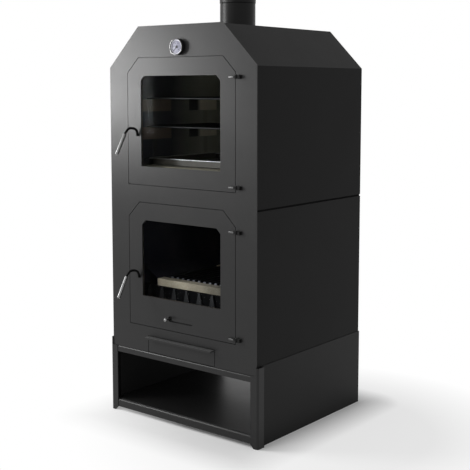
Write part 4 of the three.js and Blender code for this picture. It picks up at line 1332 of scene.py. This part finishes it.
def rope_seal(bottom, top):
    half, inner = ROPE_HALF_WIDTH, ROPE_HALF_WIDTH - ROPE_CORNER
    outline = [
        (half, bottom),
        (half, top - ROPE_CORNER),
        (inner, top),
        (-inner, top),
        (-half, top - ROPE_CORNER),
        (-half, bottom),
    ]
    corners = [Vector((x, ROPE_DEPTH, z)) for x, z in outline]
    return closed_tube(corners, turn=0.014, radius=ROPE_RADIUS)


for door, bottom in DOOR_BOTTOMS.items():
    rope = rope_seal(bottom + ROPE_INSET, bottom + DOOR_HEIGHT - ROPE_INSET)
    settle(rope, f"{door}_round_rope", fire_rope, door, f"{door}_rope_seal")

# %% [markdown]
# ## The studio lights
#
# The light in the photograph comes level from the left and grazes the front plate, so that the
# plate is brightest at its upper left and the sides stay dark. The key panel does that. A weak
# panel ahead reaches through the glass to the brick and the tray, and a small one high at the left
# draws the bright line on the flue collar.


# %% Three soft panels
def soft_panel(name, place, aim, width, height, power):
    data = bpy.data.lights.new(name, "AREA")
    data.shape = "RECTANGLE"
    data.size = width
    data.size_y = height
    data.energy = power
    panel = bpy.data.objects.new(name, data)
    panel.location = place
    direction = Vector(aim) - Vector(place)
    panel.rotation_euler = direction.to_track_quat("-Z", "Y").to_euler()
    bpy.context.scene.collection.objects.link(panel)
    print(name, power, "W")


soft_panel("key_panel", (-1.64, -1.52, 1.41), (-0.2, -0.3, 1.35), 0.5, 0.6, 27.0)
soft_panel("front_panel", (-0.5, -3.0, 1.2), (0.0, -0.3, 0.9), 1.0, 1.4, 15.0)
soft_panel("crown_panel", (-1.64, -0.98, 1.98), (0.0, 0.05, 1.72), 0.6, 0.35, 20.0)

# %% [markdown]
# ## Floor
#
# The photograph stands on white, with a soft shadow close to the stove. More light would bleach the
# stove too, so the white belongs to what the camera sees: Light Path tells camera, glossy and
# transmission rays from those that only carry light. For these rays the floor fades from a matt
# surface, which takes the shadow, to plain white, first around the foot and then with distance.

# %% Floor
WHITE = (1.0, 1.0, 1.0, 1.0)
STOVE_HALF_WIDTH, STOVE_HALF_DEPTH = cad_box[1][0], cad_box[1][1]
SHADOW_MIDDLE_X = 0.42
FOOT_SHADOW = 0.17
FADE_START, FADE_END = 0.5, 0.95


def seen_directly(finish):
    """1 for what the camera sees, straight, mirrored or through glass, and 0 for other rays."""
    rays = 0.0
    for kind in ("Is Camera Ray", "Is Glossy Ray", "Is Transmission Ray"):
        rays = rays + finish.node("ShaderNodeLightPath", output=kind)
    return rays.clamp()


bpy.ops.object.select_all(action="DESELECT")
bpy.ops.mesh.primitive_plane_add(size=24.0, location=(0.0, 0.0, 0.0))
floor = bpy.context.object
floor.name = "studio_floor"

floor_finish = Finish("studio_floor")
floor_x, floor_y = floor_finish.axis("X"), floor_finish.axis("Y")
from_middle = floor_x - SHADOW_MIDDLE_X
far = (from_middle * from_middle + floor_y * floor_y) ** 0.5
beside = (floor_x.size() - STOVE_HALF_WIDTH).positive()
ahead = (floor_y.size() - STOVE_HALF_DEPTH).positive()
off_foot = (beside * beside + ahead * ahead) ** 0.5
fade = 0.05 + 0.6 * off_foot.rise(0.0, FOOT_SHADOW) + 0.35 * far.rise(FADE_START, FADE_END)
matt = floor_finish.node("ShaderNodeBsdfDiffuse", None, {"Color": (0.9, 0.9, 0.9, 1.0)})
white = floor_finish.node("ShaderNodeEmission", None, {"Color": WHITE, "Strength": 1.0})
floor_mix = {0: fade * seen_directly(floor_finish), 1: matt, 2: white}
floor.data.materials.append(
    floor_finish.finish(floor_finish.node("ShaderNodeMixShader", None, floor_mix))
)
print("floor ready")

# %% [markdown]
# ## Background
#
# The same three kinds of rays see a white world. All others meet a weaker one, which fills the
# shadows without paling the black paint.

# %% World
AMBIENT = 0.45
world = bpy.data.worlds.new("studio_world")
bpy.context.scene.world = world
sky = Finish("studio_world", world, "ShaderNodeOutputWorld")
ambient = sky.node("ShaderNodeBackground", None, {"Color": WHITE, "Strength": AMBIENT})
backdrop = sky.node("ShaderNodeBackground", None, {"Color": WHITE, "Strength": 1.0})
sky_mix = {0: seen_directly(sky), 1: ambient, 2: backdrop}
sky.finish(sky.node("ShaderNodeMixShader", None, sky_mix))
print("world ready, ambient", AMBIENT)
